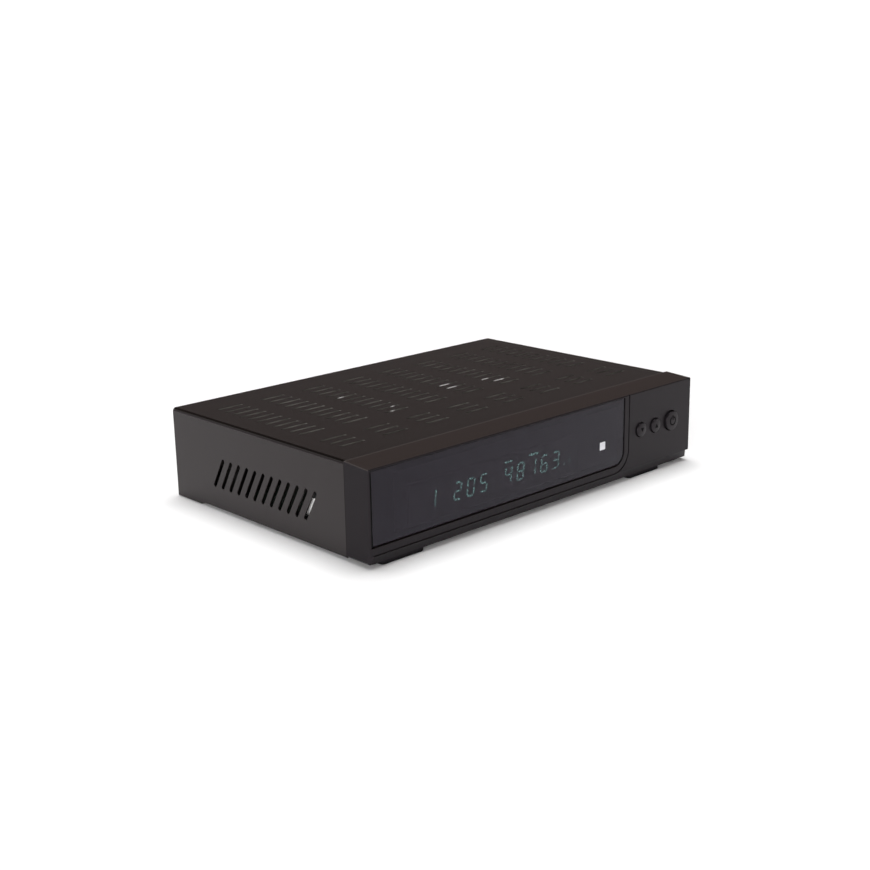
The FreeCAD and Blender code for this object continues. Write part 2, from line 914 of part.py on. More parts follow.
def key_switches():
    """Three square switch housings on the front board, each with a well for its plunger."""
    solids = []
    half = key_switch_side / 2
    front = front_board_y - key_switch_height
    for x in (power_x, up_x, down_x):
        body = box(x - half, x + half, front, front_board_y, button_row_z - half, button_row_z + half)
        well = rod_y(x, button_row_z, plunger_diameter / 2 + plunger_gap, front - small_step,
                     front + plunger_inside + button_travel + plunger_end_gap)
        solids.append(body.cut(well))
    return group(solids)


def switch_plunger(x):
    front = front_board_y - key_switch_height
    return rod_y(x, button_row_z, plunger_diameter / 2, front - plunger_reach, front + plunger_inside)


def front_board():
    half = half_width - front_board_side_gap
    board = box(-half, half, front_board_y, front_board_back, front_board_bottom, front_board_top)
    holes = [rod_y(x, z, front_screw_radius + hole_play, front_board_y - small_step,
                   front_board_back + small_step) for x, z in post_places()]
    return board.cut(holes)


def front_board_screws():
    return group([
        screw(V(x, front_board_back, z), V(0, 1, 0), front_screw_radius, small_screw_head_radius,
              small_screw_head_height, front_screw_length)
        for x, z in post_places()
    ])


def display_box():
    """Left, right, bottom and top of the display tube."""
    bottom = display_middle_z - display_height / 2
    return (-half_width + display_left, window_sides()[1] - display_from_window_right, bottom,
            bottom + display_height)


def display_tube():
    """The glass lid of the display: a shallow box open at the back."""
    left, right, bottom, top = display_box()
    inset = display_glass_inset
    front = front_y + display_front_depth
    back = front + display_glass_depth
    outer = rounded_box(left + inset, right - inset, front, back, bottom + inset, top - inset,
                        display_glass_corner, V(0, 1, 0))
    wall = display_glass_wall
    inner = box(left + inset + wall, right - inset - wall, front + wall, back + small_step,
                bottom + inset + wall, top - inset - wall)
    return outer.cut(inner)


def display_plate_front():
    return front_y + display_front_depth + display_glass_depth


def display_anode_plate():
    left, right, bottom, top = display_box()
    front = display_plate_front()
    return box(left, right, front, front + display_plate_thickness, bottom, top)


def display_pins():
    """A comb of flat pins from the plate's lower edge back into the front board."""
    left, right, bottom, top = display_box()
    pitch = (right - left - 2 * display_pin_margin) / (display_pin_count - 1)
    front = display_plate_front() + display_plate_thickness / 2
    low = bottom - display_pin_drop
    solids = []
    for step in range(display_pin_count):
        x = left + display_pin_margin + step * pitch
        x0 = x - display_pin_width / 2
        x1 = x + display_pin_width / 2
        down = box(x0, x1, front, front + display_pin_thickness, low, bottom)
        back = box(x0, x1, front, front_board_y, low, low + display_pin_thickness)
        solids.append(joined([down, back]))
    return group(solids)


def display_foam_strip():
    left, right, bottom, top = display_box()
    front = display_plate_front() + display_plate_thickness
    return box(left + display_pin_margin, right - display_pin_margin, front, front_board_y,
               display_middle_z - foam_height / 2, display_middle_z + foam_height / 2)


def infrared_receiver():
    x = window_sides()[1] - receiver_from_window_right
    half = receiver_width / 2
    front = front_board_y - receiver_body_depth
    body = box(x - half, x + half, front, front_board_y, receiver_z - half, receiver_z + half)
    dome = Part.makeSphere(receiver_dome_radius, V(x, front, receiver_z))
    kept = box(x - half, x + half, front - receiver_width, front + small_step, receiver_z - half,
               receiver_z + half)
    return joined([body, dome.common(kept)])


def foot_middles():
    """Middles of the four feet; the front pair stands under the front panel."""
    xs = [-half_width + foot_left_from_side, half_width - foot_right_from_side]
    ys = [front_y + front_foot_depth + foot_width / 2,
          cover_back - rear_foot_from_back - foot_width / 2]
    return [(x, y) for y in ys for x in xs]


def rubber_feet():
    solids = []
    for x, y in foot_middles():
        pad = rounded_box(x - foot_length / 2, x + foot_length / 2, y - foot_width / 2, y + foot_width / 2,
                          0, foot_height, foot_corner, V(0, 0, 1))
        solids.append(pad)
    return group(solids)


def main_board_holes():
    """Two at the front, and three at the back that stand clear of the tuner and the sockets."""
    left = board_left + board_hole_inset
    right = board_right - board_hole_inset
    clear = board_screw_head_radius + screw_to_socket_gap
    header_end = main_header_y + cable_width / 2 + header_end_margin
    return [
        (left, header_end + clear),
        (right, board_front + board_hole_inset),
        (left, tuner_front - clear),
        (av_left + av_width / 2, socket_face - av_depth - clear),
        (right, socket_face - serial_depth - clear),
    ]


def power_board_holes():
    inset = board_hole_inset
    return [(x, y) for x in (power_left + inset, power_right - inset)
            for y in (power_front + inset, power_back - inset)]


def board_standoffs():
    solids = []
    for x, y in main_board_holes() + power_board_holes():
        post = hexagon_z(x, y, standoff_flats, tray_top, board_bottom)
        solids.append(post.cut(rod_z(x, y, board_screw_radius + screw_play, tray_top + standoff_floor,
                                     board_bottom + small_step)))
    return group(solids)


def board_screws():
    return group([
        screw(V(x, y, board_top), V(0, 0, 1), board_screw_radius, board_screw_head_radius,
              board_screw_head_height, board_screw_length)
        for x, y in main_board_holes() + power_board_holes()
    ])


def board(left, right, front, back, places):
    plate = box(left, right, front, back, board_bottom, board_top)
    return plate.cut([rod_z(x, y, board_screw_radius + hole_play, board_bottom - small_step,
                            board_top + small_step) for x, y in places])


def main_board():
    return board(board_left, board_right, board_front, board_back, main_board_holes())


def power_board():
    return board(power_left, power_right, power_front, power_back, power_board_holes())


def chassis_tray():
    """Folded base: floor, low side walls, and front and rear walls with screw holes."""
    side_top = tray_top + tray_side_height
    front_top = foot_height + tray_front_height
    rear_top = tray_top + tray_rear_height
    trough = box(-tray_half, tray_half, tray_front, tray_back, foot_height, side_top)
    trough = trough.makeFillet(tray_bend, [
        e for e in trough.Edges
        if abs(e.CenterOfMass.z - foot_height) < 1e-6 and abs(abs(e.CenterOfMass.x) - tray_half) < 1e-6
    ])
    inner_half = tray_half - tray_sheet
    hollow = box(-inner_half, inner_half, tray_front - small_step, tray_back + small_step, tray_top,
                 side_top + small_step)
    hollow = hollow.makeFillet(tray_bend - tray_sheet, [
        e for e in hollow.Edges
        if abs(e.CenterOfMass.z - tray_top) < 1e-6 and abs(abs(e.CenterOfMass.x) - inner_half) < 1e-6
    ])
    wall_half = tray_half - tray_corner_relief
    front_wall = box(-wall_half, wall_half, tray_front, tray_front + tray_sheet, foot_height, front_top)
    rear_wall = box(-wall_half, wall_half, tray_back - tray_sheet, tray_back, foot_height, rear_top)
    tray = joined([trough.cut(hollow), front_wall, rear_wall])
    cuts = [rod_y(x, bezel_screw_height, case_screw_radius + hole_play, tray_front - small_step,
                  tray_front + 2 * tray_sheet) for x in bezel_screw_places()]
    cuts += [rod_y(x, rear_screw_height, case_screw_radius + screw_play, tray_back - 2 * tray_sheet,
                   tray_back + small_step) for x in rear_screw_places()]
    middle_y = (tray_front + tray_back) / 2
    for column in (-1, 1):
        for step in range(tray_vent_count):
            x = column * half_width / 2 + (step - (tray_vent_count - 1) / 2) * tray_vent_pitch
            cuts.append(obround(V(x, middle_y, foot_height - small_step), V(0, 1, 0), V(1, 0, 0),
                                V(0, 0, tray_sheet + 2 * small_step), tray_vent_length, tray_vent_width))
    return tray.cut(cuts)


def rear_screw_places():
    return [-half_width + rear_screw_inset, half_width - rear_screw_inset]


def case_screws():
    """The nine alike screws of the case: cover to rear panel, rear panel to tray, tray to front panel."""
    seats = [V(x, cover_back, cover_screw_z()) for x in cover_screw_places()]
    seats += [V(x, rear_outer, rear_screw_height) for x in rear_screw_places()]
    backward = [screw(seat, V(0, 1, 0), case_screw_radius, case_screw_head_radius, case_screw_head_height,
                      case_screw_length) for seat in seats]
    seats = [V(x, tray_front + tray_sheet, bezel_screw_height) for x in bezel_screw_places()]
    forward = [screw(seat, V(0, 1, 0), case_screw_radius, case_screw_head_radius, case_screw_head_height,
                     case_screw_length) for seat in seats]
    return group(backward + forward)


def port_xs():
    middle = tuner_left + tuner_width / 2
    return [middle - port_spacing / 2, middle + port_spacing / 2]


def phono_places():
    """Middles of the four jacks, as x and z, row by row from the lower left."""
    middle = phono_left + phono_width / 2
    low = board_top + phono_first_row
    return [(middle + column * phono_column_spacing / 2, low + row * phono_row_spacing)
            for row in (0, 1) for column in (-1, 1)]


def socket_box(left, width, height, depth):
    """A block on the main board whose face stands just outside the rear panel."""
    return left, left + width, socket_face - depth, socket_face, board_top, board_top + height


def socket_hole(left, width, height):
    gap = cutout_gap
    return box(left - gap, left + width + gap, rear_inner - small_step, rear_outer + small_step,
               board_top - gap, board_top + height + gap)


def rear_vent(x0, x1, bottom):
    """Upright slots between two values of x, from a height up to just below the cover's flange."""
    top = cover_top - rear_flange_height - rear_slot_top_margin
    count = int((x1 - x0) / rear_slot_pitch) + 1
    start = (x0 + x1) / 2 - (count - 1) * rear_slot_pitch / 2
    return [
        obround(V(start + step * rear_slot_pitch, rear_inner - small_step, (bottom + top) / 2), V(0, 0, 1),
                V(1, 0, 0), V(0, rear_sheet + 2 * small_step, 0), top - bottom, rear_slot_width)
        for step in range(count)
    ]


def rear_panel():
    half = tray_half - sheet_gap
    top = cover_top - cover_sheet - 2 * sheet_gap
    plate = box(-half, half, rear_inner, rear_outer, foot_height, top)
    plate = plate.makeFillet(cover_bend, [
        e for e in plate.Edges
        if abs(e.CenterOfMass.z - top) < 1e-6 and abs(abs(e.CenterOfMass.x) - half) < 1e-6
    ])
    y0 = rear_inner - small_step
    y1 = rear_outer + small_step
    cuts = [rod_y(x, port_z, port_radius + cutout_gap, y0, y1) for x in port_xs()]
    cuts += [rod_y(x, z, phono_collar_radius + cutout_gap, y0, y1) for x, z in phono_places()]
    cuts += [rod_y(x, cover_screw_z(), case_screw_radius + screw_play, y0, y1) for x in cover_screw_places()]
    cuts += [rod_y(x, rear_screw_height, case_screw_radius + hole_play, y0, y1) for x in rear_screw_places()]
    cuts.append(socket_hole(av_left, av_width, av_height))
    cuts.append(socket_hole(network_left, network_width, network_height))
    cuts.append(socket_hole(video_left, video_width, video_height))
    cuts.append(socket_hole(serial_left, serial_width, serial_height))
    gap = cutout_gap
    cuts.append(box(inlet_x - inlet_body_width / 2 - gap, inlet_x + inlet_body_width / 2 + gap, y0, y1,
                    inlet_middle_z - inlet_body_height / 2 - gap, inlet_middle_z + inlet_body_height / 2 + gap))
    cuts.append(box(switch_x - switch_body_width / 2 - gap, switch_x + switch_body_width / 2 + gap, y0, y1,
                    switch_middle_z - switch_body_height / 2 - gap,
                    switch_middle_z + switch_body_height / 2 + gap))
    cuts += rear_vent(tuner_left + rear_slot_width, av_left + av_width - rear_slot_width,
                      board_top + av_height + rear_vent_gap)
    cuts += rear_vent(network_left + rear_slot_width, board_right - rear_slot_width,
                      board_top + network_height + rear_vent_gap)
    return plate.cut(cuts)


def tuner_box():
    return tuner_left, tuner_left + tuner_width, tuner_front, tuner_back, board_top, board_top + tuner_height


def tuner_can():
    """The tuner's tinned frame: four walls and a floor, open at the top for its lid."""
    x0, x1, y0, y1, z0, z1 = tuner_box()
    wall = tuner_wall
    return box(x0, x1, y0, y1, z0, z1).cut(box(x0 + wall, x1 - wall, y0 + wall, y1 - wall, z0 + wall,
                                              z1 + small_step))


def tuner_lid():
    x0, x1, y0, y1, z0, z1 = tuner_box()
    rim = tuner_wall + sheet_gap / 2
    side = sheet_gap / 2
    outer = box(x0 - rim, x1 + rim, y0 - rim, y1 - tuner_wall, z1 - tuner_lid_rim, z1 + tuner_wall)
    inner = box(x0 - side, x1 + side, y0 - side, y1 + small_step, z1 - tuner_lid_rim - small_step, z1)
    return outer.cut(inner)


def relief_groove(x, z, radius, y0, width, depth):
    """What a turned groove takes off a rod along Y."""
    band = rod_y(x, z, radius + small_step, y0, y0 + width)
    return band.cut(rod_y(x, z, radius - depth, y0 - small_step, y0 + width + small_step))


def radio_ports():
    """Two threaded coaxial ports on the tuner's back wall, plain at the thread's outer size.

    A relief groove marks where the nut ends and the free length for a plug begins.
    """
    y0 = tuner_back
    y1 = rear_outer + port_reach
    solids = []
    for x in port_xs():
        shell = rod_y(x, port_z, port_radius, y0, y1)
        bore = rod_y(x, port_z, port_bore_radius, y0 + small_step, y1 + small_step)
        relief = relief_groove(x, port_z, port_radius, rear_outer + nut_thickness, port_relief_width,
                               port_relief_depth)
        solids.append(shell.cut([bore, relief]))
    return group(solids)


def port_inserts():
    """The insulating plugs inside the ports, each with its centre hole."""
    y0 = tuner_back + small_step
    y1 = rear_outer + port_reach - port_insert_setback
    solids = []
    for x in port_xs():
        plug = rod_y(x, port_z, port_bore_radius, y0, y1)
        solids.append(plug.cut(rod_y(x, port_z, port_contact_radius, y0 + small_step, y1 + small_step)))
    return group(solids)


def port_nuts():
    solids = []
    for x in port_xs():
        nut = hexagon_z(0, 0, nut_flats, 0, nut_thickness)
        nut = nut.cut(rod_z(0, 0, port_radius + screw_play, -small_step, nut_thickness + small_step))
        nut.Placement = FreeCAD.Placement(V(x, rear_outer, port_z), FreeCAD.Rotation(V(0, 0, 1), V(0, 1, 0)))
        solids.append(nut)
    return group(solids)


def av_socket_shell():
    """The sheet shell of the 21-contact socket, a rectangle with one slanting corner."""
    x0, x1, y0, y1, z0, z1 = socket_box(av_left, av_width, av_height, av_depth)
    wall = av_wall
    slant = av_slant
    outer = prism_y([(x0, z0), (x1, z0), (x1, z1), (x0 + slant, z1), (x0, z1 - slant)], y0, y1)
    fill = wall * math.tan(math.pi / 8)
    inner = prism_y([(x0 + wall, z0 + wall), (x1 - wall, z0 + wall), (x1 - wall, z1 - wall),
                     (x0 + slant + fill, z1 - wall), (x0 + wall, z1 - slant - fill)],
                    y0 + wall, y1 + small_step)
    return outer.cut(inner)


def av_socket_core():
    """The contact block in the socket: two rows of narrow slots and a gap all round."""
    x0, x1, y0, y1, z0, z1 = socket_box(av_left, av_width, av_height, av_depth)
    gap = av_wall + av_core_gap
    middle_z = (z0 + z1) / 2
    front = y1 - av_core_setback
    slant = av_core_slant
    block = prism_y([(x0 + gap, z0 + gap), (x1 - gap, z0 + gap), (x1 - gap, z1 - gap),
                     (x0 + gap + slant, z1 - gap), (x0 + gap, z1 - gap - slant)], y0 + av_wall, front)
    cuts = []
    middle_x = (x0 + x1) / 2
    for row in (-1, 1):
        for step in range(av_slot_count):
            x = middle_x + (step - (av_slot_count - 1) / 2) * av_slot_pitch + row * av_slot_pitch / 4
            z = middle_z + row * av_row_spacing / 2
            cuts.append(box(x - av_slot_width / 2, x + av_slot_width / 2, front - av_slot_depth,
                            front + small_step, z - av_slot_height / 2, z + av_slot_height / 2))
    return block.cut(cuts)


def phono_block():
    """The moulded block behind the four jacks, with a round collar through the panel for each."""
    back = rear_inner - sheet_gap
    body = box(phono_left, phono_left + phono_width, back - phono_depth, back, board_top,
               board_top + phono_height)
    collars = [rod_y(px, pz, phono_collar_radius, back - small_step / 2, rear_outer + phono_collar_height)
               for px, pz in phono_places()]
    body = joined([body] + collars)
    wells = [rod_y(px, pz, phono_shell_radius + screw_play, back - small_step,
                   rear_outer + phono_collar_height + small_step) for px, pz in phono_places()]
    return body.cut(wells)


def phono_shells():
    """Plated rings, each with a relief groove where the collar ends and the free length begins."""
    y0 = rear_inner - sheet_gap - small_step
    y1 = rear_outer + phono_reach
    solids = []
    for x, z in phono_places():
        ring = rod_y(x, z, phono_shell_radius, y0, y1)
        bore = rod_y(x, z, phono_shell_radius - phono_shell_wall, y0 - small_step, y1 + small_step)
        relief = relief_groove(x, z, phono_shell_radius, rear_outer + phono_collar_height, phono_relief_width,
                               phono_relief_depth)
        solids.append(ring.cut([bore, relief]))
    return group(solids)


def phono_insert(index):
    """A coloured plug inside one jack, with the hole that takes the centre pin."""
    x, z = phono_places()[index]
    y0 = rear_inner - sheet_gap - small_step
    y1 = rear_outer + phono_reach - small_step
    radius = phono_shell_radius - phono_shell_wall - screw_play
    plug = rod_y(x, z, radius, y0, y1)
    return plug.cut(rod_y(x, z, phono_hole_radius, y0 + 2 * small_step, y1 + small_step))


def network_socket():
    """The eight-contact network socket: a shielded block with a cavity and a latch notch on top."""
    x0, x1, y0, y1, z0, z1 = socket_box(network_left, network_width, network_height, network_depth)
    middle = (x0 + x1) / 2
    low = z0 + network_cavity_bottom
    high = low + network_cavity_height
    cavity_front = y1 - network_cavity_depth
    cavity = box(middle - network_cavity_width / 2, middle + network_cavity_width / 2, cavity_front,
                 y1 + small_step, low, high)
    notch = box(middle - network_notch_width / 2, middle + network_notch_width / 2, cavity_front,
                y1 + small_step, high - small_step, high + network_notch_height)
    return box(x0, x1, y0, y1, z0, z1).cut([cavity, notch])


def network_contacts():
    """Eight sprung wires that slope across the lower part of the cavity."""
    x0, x1, y0, y1, z0, z1 = socket_box(network_left, network_width, network_height, network_depth)
    middle = (x0 + x1) / 2
    low = z0 + network_cavity_bottom
    back = y1 - network_cavity_depth
    front = y1 - contact_setback
    bend = front - contact_thickness
    wires = []
    for step in range(contact_count):
        x = middle + (step - (contact_count - 1) / 2) * contact_pitch
        side = [(front, low), (bend, low + contact_thickness), (back, low + contact_rise),
                (back, low + contact_rise - contact_thickness), (bend, low)]
        wires.append(prism_x(side, x - contact_width / 2, x + contact_width / 2))
    return group(wires)


def digital_video_socket():
    """A flat shell whose lower corners slant inwards."""
    x0, x1, y0, y1, z0, z1 = socket_box(video_left, video_width, video_height, video_depth)
    wall = video_wall
    cut = video_corner
    outer = prism_y([(x0 + cut, z0), (x1 - cut, z0), (x1, z0 + cut), (x1, z1), (x0, z1), (x0, z0 + cut)],
                    y0, y1)
    fill = wall * math.tan(math.pi / 8)
    inner = prism_y([(x0 + cut + fill, z0 + wall), (x1 - cut - fill, z0 + wall), (x1 - wall, z0 + cut + fill),
                     (x1 - wall, z1 - wall), (x0 + wall, z1 - wall), (x0 + wall, z0 + cut + fill)],
                    y0 + wall, y1 + small_step)
    return outer.cut(inner)


def serial_socket():
    """The flat shell of the media socket."""
    x0, x1, y0, y1, z0, z1 = socket_box(serial_left, serial_width, serial_height, serial_depth)
    wall = serial_wall
    return box(x0, x1, y0, y1, z0, z1).cut(box(x0 + wall, x1 - wall, y0 + wall, y1 + small_step, z0 + wall,
                                              z1 - wall))


def tongue(sides, wall, thickness, height):
    """One contact tongue, standing from the back wall of its socket at a height above the board."""
    x0, x1, y0, y1, z0, z1 = sides
    inset = wall + tongue_side_gap
    return box(x0 + inset, x1 - inset, y0 + wall, y1 - tongue_setback, z0 + height - thickness / 2,
               z0 + height + thickness / 2)


def socket_tongues():
    """The plastic tongues that carry the contacts of the two flat sockets."""
    video = socket_box(video_left, video_width, video_height, video_depth)
    serial = socket_box(serial_left, serial_width, serial_height, serial_depth)
    return group([tongue(video, video_wall, video_tongue_thickness, video_tongue_height),
                  tongue(serial, serial_wall, serial_tongue_thickness, serial_tongue_height)])


def mains_inlet():
    """The two-pole inlet: a flange outside the panel, a body inside, and its figure-of-eight recess."""
    x = inlet_x
    z = inlet_middle_z
    face = rear_outer + inlet_flange_thickness
    flange = rounded_box(x - inlet_flange_width / 2, x + inlet_flange_width / 2, rear_outer, face,
                         z - inlet_flange_height / 2, z + inlet_flange_height / 2, inlet_flange_corner,
                         V(0, 1, 0))
    body = box(x - inlet_body_width / 2, x + inlet_body_width / 2, rear_outer - inlet_body_depth,
               rear_outer + small_step / 2, z - inlet_body_height / 2, z + inlet_body_height / 2)
    floor = face - inlet_recess_depth
    reach = inlet_lobe_spacing / 2
    recess = [rod_y(x + side * reach, z, inlet_lobe_radius, floor, face + small_step) for side in (-1, 1)]
    recess.append(box(x - reach, x + reach, floor, face + small_step, z - inlet_waist / 2,
                      z + inlet_waist / 2))
    return joined([flange, body]).cut(joined(recess))


def inlet_pins():
    x = inlet_x
    floor = rear_outer + inlet_flange_thickness - inlet_recess_depth
    solids = []
    for side in (-1, 1):
        pin = rod_y(x + side * inlet_lobe_spacing / 2, inlet_middle_z, inlet_pin_radius, floor,
                    floor + inlet_pin_length)
        tip = [e for e in pin.Edges if e.CenterOfMass.y > floor + inlet_pin_length - 1e-6]
        solids.append(pin.makeFillet(inlet_pin_round, tip))
    return group(solids)


def mains_switch():
    """The switch housing: a flange outside the panel and a deep well that the rocker turns in."""
    x = switch_x
    z = switch_middle_z
    face = rear_outer + switch_flange_thickness
    flange = rounded_box(x - switch_flange_width / 2, x + switch_flange_width / 2, rear_outer, face,
                         z - switch_flange_height / 2, z + switch_flange_height / 2, switch_flange_corner,
                         V(0, 1, 0))
    body = box(x - switch_body_width / 2, x + switch_body_width / 2, rear_outer - switch_body_depth,
               rear_outer + small_step / 2, z - switch_body_height / 2, z + switch_body_height / 2)
    well_half = rocker_width / 2 + rocker_side_gap
    well_up = rocker_radius + rocker_end_gap
    well = box(x - well_half, x + well_half, rocker_pivot_y - rocker_cavity_depth, face + small_step,
               z - well_up, z + well_up)
    pin_reach = rocker_width / 2 + rocker_pin_reach + pivot_play
    seat = rod_x(rocker_pivot_y, z, rocker_pin_radius + pivot_play, x - pin_reach, x + pin_reach)
    return joined([flange, body]).cut([well, seat])


def mains_rocker():
    """The rocker in its on position: a shallow V face, round ends about its pivot, two pins."""
    x0 = switch_x - rocker_width / 2
    back_up = math.sqrt(rocker_radius * rocker_radius - rocker_back * rocker_back)
    round_end = (math.atan2(rocker_corner_up, rocker_corner_out) + math.atan2(back_up, -rocker_back)) / 2
    middle_out = rocker_radius * math.cos(round_end)
    middle_up = rocker_radius * math.sin(round_end)

    def at(out, up):
        return V(x0, rocker_pivot_y + out, switch_middle_z + up)

    edges = [
        Part.LineSegment(at(rocker_dip, 0), at(rocker_corner_out, rocker_corner_up)).toShape(),
        Part.Arc(at(rocker_corner_out, rocker_corner_up), at(middle_out, middle_up),
                 at(-rocker_back, back_up)).toShape(),
        Part.LineSegment(at(-rocker_back, back_up), at(-rocker_back, -back_up)).toShape(),
        Part.Arc(at(-rocker_back, -back_up), at(middle_out, -middle_up),
                 at(rocker_corner_out, -rocker_corner_up)).toShape(),
        Part.LineSegment(at(rocker_corner_out, -rocker_corner_up), at(rocker_dip, 0)).toShape(),
    ]
    body = Part.Face(Part.Wire(edges)).extrude(V(rocker_width, 0, 0))
    pin_end = rocker_width / 2 + rocker_pin_reach
    pins = rod_x(rocker_pivot_y, switch_middle_z, rocker_pin_radius, switch_x - pin_end, switch_x + pin_end)
    rocker = joined([body, pins])
    rocker.rotate(V(switch_x, rocker_pivot_y, switch_middle_z), V(1, 0, 0), rocker_swing / 2)
    return rocker


def mains_wires():
    """Leads from the inlet to the switch, and from both to the mains header."""
    inlet_back = rear_outer - inlet_body_depth
    switch_back = rear_outer - switch_body_depth
    reach = inlet_lobe_spacing / 2
    z = inlet_middle_z
    upper = z + switch_tab_rise
    top = board_top + header_height
    pin = mains_pin_spacing / 2
    run = inlet_back - mains_lead_run
    to_switch = [V(inlet_x + reach, inlet_back, z), V(inlet_x + reach, run, z), V(switch_x, run, z),
                 V(switch_x, switch_back, z)]
    from_switch = [V(switch_x, switch_back, upper), V(switch_x, mains_header_y, upper),
                   V(mains_header_x + pin, mains_header_y, upper), V(mains_header_x + pin, mains_header_y, top)]
    from_inlet = [V(inlet_x - reach, inlet_back, z), V(inlet_x - reach, mains_header_y, z),
                  V(mains_header_x - pin, mains_header_y, z), V(mains_header_x - pin, mains_header_y, top)]
    return group([tube_along(route, mains_lead_bend, mains_lead_radius)
                  for route in (to_switch, from_switch, from_inlet)])


def power_cable():
    """Leads that arch over the gap between the two boards."""
    main_x = board_right - supply_header_inset
    supply_x = power_left + supply_header_inset
    top = board_top + header_height
    leads = []
    for step in range(supply_lead_count):
        y = supply_header_y + (step - (supply_lead_count - 1) / 2) * supply_lead_pitch
        route = [V(main_x, y, top), V(main_x, y, top + supply_lead_rise),
                 V(supply_x, y, top + supply_lead_rise), V(supply_x, y, top)]
        leads.append(tube_along(route, supply_lead_bend, supply_lead_radius))
    return group(leads)


def cable_stations():
    """The cable's middle line, from the front header to the top of the one on the main board."""
    stations = [V(front_header_x, front_board_back + header_height, front_header_z)]
    for x, depth, z in cable_points:
        stations.append(V(-half_width + x, front_y + depth, z))
    stations.append(V(main_header_x, main_header_y, board_top + header_height))
    return stations


def front_cable():
    """The flat bundle of leads that bows out behind the first side slot on its way down."""
    stations = cable_stations()
    last = len(stations) - 1
    rings = []
    for index, middle in enumerate(stations):
        run = stations[min(index + 1, last)] - stations[max(index - 1, 0)]
        if index == 0:
            run = V(0, 1, 0)
        if index == last:
            run = V(0, 0, -1)
        flat = V(0, run.y, run.z).normalize()
        wide = V(0, -flat.z, flat.y) * (cable_width / 2)
        thick = V(cable_thickness / 2, 0, 0)
        corners = [middle - wide - thick, middle + wide - thick, middle + wide + thick, middle - wide + thick]
        rings.append(Part.makePolygon(corners + [corners[0]]))
    return Part.makeLoft(rings, True, True)


def upright_block(x, y, width, length, height):
    """A block standing on the boards, about a middle."""
    return box(x - width / 2, x + width / 2, y - length / 2, y + length / 2, board_top, board_top + height)


def board_headers():
    """White plug housings: front cable, board-to-board cable and mains leads."""
    long = cable_width + 2 * header_end_margin
    front = box(front_header_x - header_width / 2, front_header_x + header_width / 2, front_board_back,
                front_board_back + header_height, front_header_z - long / 2, front_header_z + long / 2)
    return group([
        front,
        upright_block(main_header_x, main_header_y, header_width, long, header_height),
        upright_block(board_right - supply_header_inset, supply_header_y, header_width, supply_header_length,
                      header_height),
        upright_block(power_left + supply_header_inset, supply_header_y, header_width, supply_header_length,
                      header_height),
        upright_block(mains_header_x, mains_header_y, mains_header_width, mains_header_length, header_height),
    ])


def board_chips():
    """The processor, two memory chips and a flash chip, soldered on the main board."""
    y = board_front + processor_y
    memory = [upright_block(board_left + memory_x, y + side * memory_spacing / 2, memory_width, memory_length,
                            memory_height) for side in (-1, 1)]
    return group([
        upright_block(board_left + processor_x, y, processor_side, processor_side, processor_height),
        upright_block(board_left + flash_x, y, flash_width, flash_length, flash_height),
    ] + memory)


def processor_heatsink():
    """A finned block on the processor."""
    x = board_left + processor_x
    y = board_front + processor_y
    base = board_top + processor_height
    half = sink_side / 2
    pitch = (sink_side - sink_fin_thickness) / (sink_fin_count - 1)
    sink = [box(x - half, x + half, y - half, y + half, base, base + sink_base)]
    for step in range(sink_fin_count):
        fin_x = x - half + step * pitch
        sink.append(box(fin_x, fin_x + sink_fin_thickness, y - half, y + half, base, base + sink_height))
    return joined(sink)


def capacitors(left, front, cans):
    """Upright electrolytic capacitors, each with a place, a radius and a height."""
    solids = []
    for dx, dy, radius, height in cans:
        top = board_top + height
        can = rod_z(left + dx, front + dy, radius, board_top, top)
        solids.append(can.makeFillet(can_edge_round, [e for e in can.Edges if e.CenterOfMass.z > top - 1e-6]))
    return group(solids)


def transformer_core():
    """Two E halves seen as one frame: two bars and three legs."""
    x = power_left + transformer_x
    y = power_front + transformer_y
    z = board_top + transformer_lift
    half = core_height / 2
    outer = core_width / 2
    long = core_length / 2
    frame = box(x - outer, x + outer, y - long, y + long, z - half, z + half)
    windows = []
    for side in (-1, 1):
        xs = sorted((x + side * core_leg / 2, x + side * (outer - core_rim)))
        windows.append(box(xs[0], xs[1], y - long + core_rim, y + long - core_rim, z - half - small_step,
                           z + half + small_step))
    return frame.cut(windows)


def transformer_winding():
    """The wound bobbin round the middle leg, standing on the board by its two pin rails."""
    x = power_left + transformer_x
    y = power_front + transformer_y
    z = board_top + transformer_lift
    wide = core_width / 2 - core_rim - winding_gap
    long = core_length / 2 - core_rim - winding_gap
    tall = winding_height / 2
    body = rounded_box(x - wide, x + wide, y - long, y + long, z - tall, z + tall, winding_corner, V(0, 1, 0))
    feet = []
    for side in (-1, 1):
        ys = sorted((y + side * long, y + side * (long - winding_foot)))
        feet.append(box(x - wide + winding_corner, x + wide - winding_corner, ys[0], ys[1], board_top,
                        z - tall + small_step))
    leg_x = core_leg / 2 + winding_play
    leg_z = core_height / 2 + winding_play
    leg = box(x - leg_x, x + leg_x, y - long - small_step, y + long + small_step, z - leg_z, z + leg_z)
    return joined([body] + feet).cut(leg)


def power_heatsink():
    """An upright finned plate that cools the switching transistor."""
    x = power_left + power_sink_x
    y = power_front + power_sink_y
    half = power_sink_width / 2
    top = board_top + power_sink_height
    pitch = (power_sink_width - power_fin_thickness) / (power_fin_count - 1)
    sink = [box(x - half, x + half, y, y + power_sink_thickness, board_top, top)]
    for step in range(power_fin_count):
        fin_x = x - half + step * pitch
        sink.append(box(fin_x, fin_x + power_fin_thickness, y - power_fin_reach, y + power_sink_thickness,
                        board_top + power_fin_lift, top))
    return joined(sink)


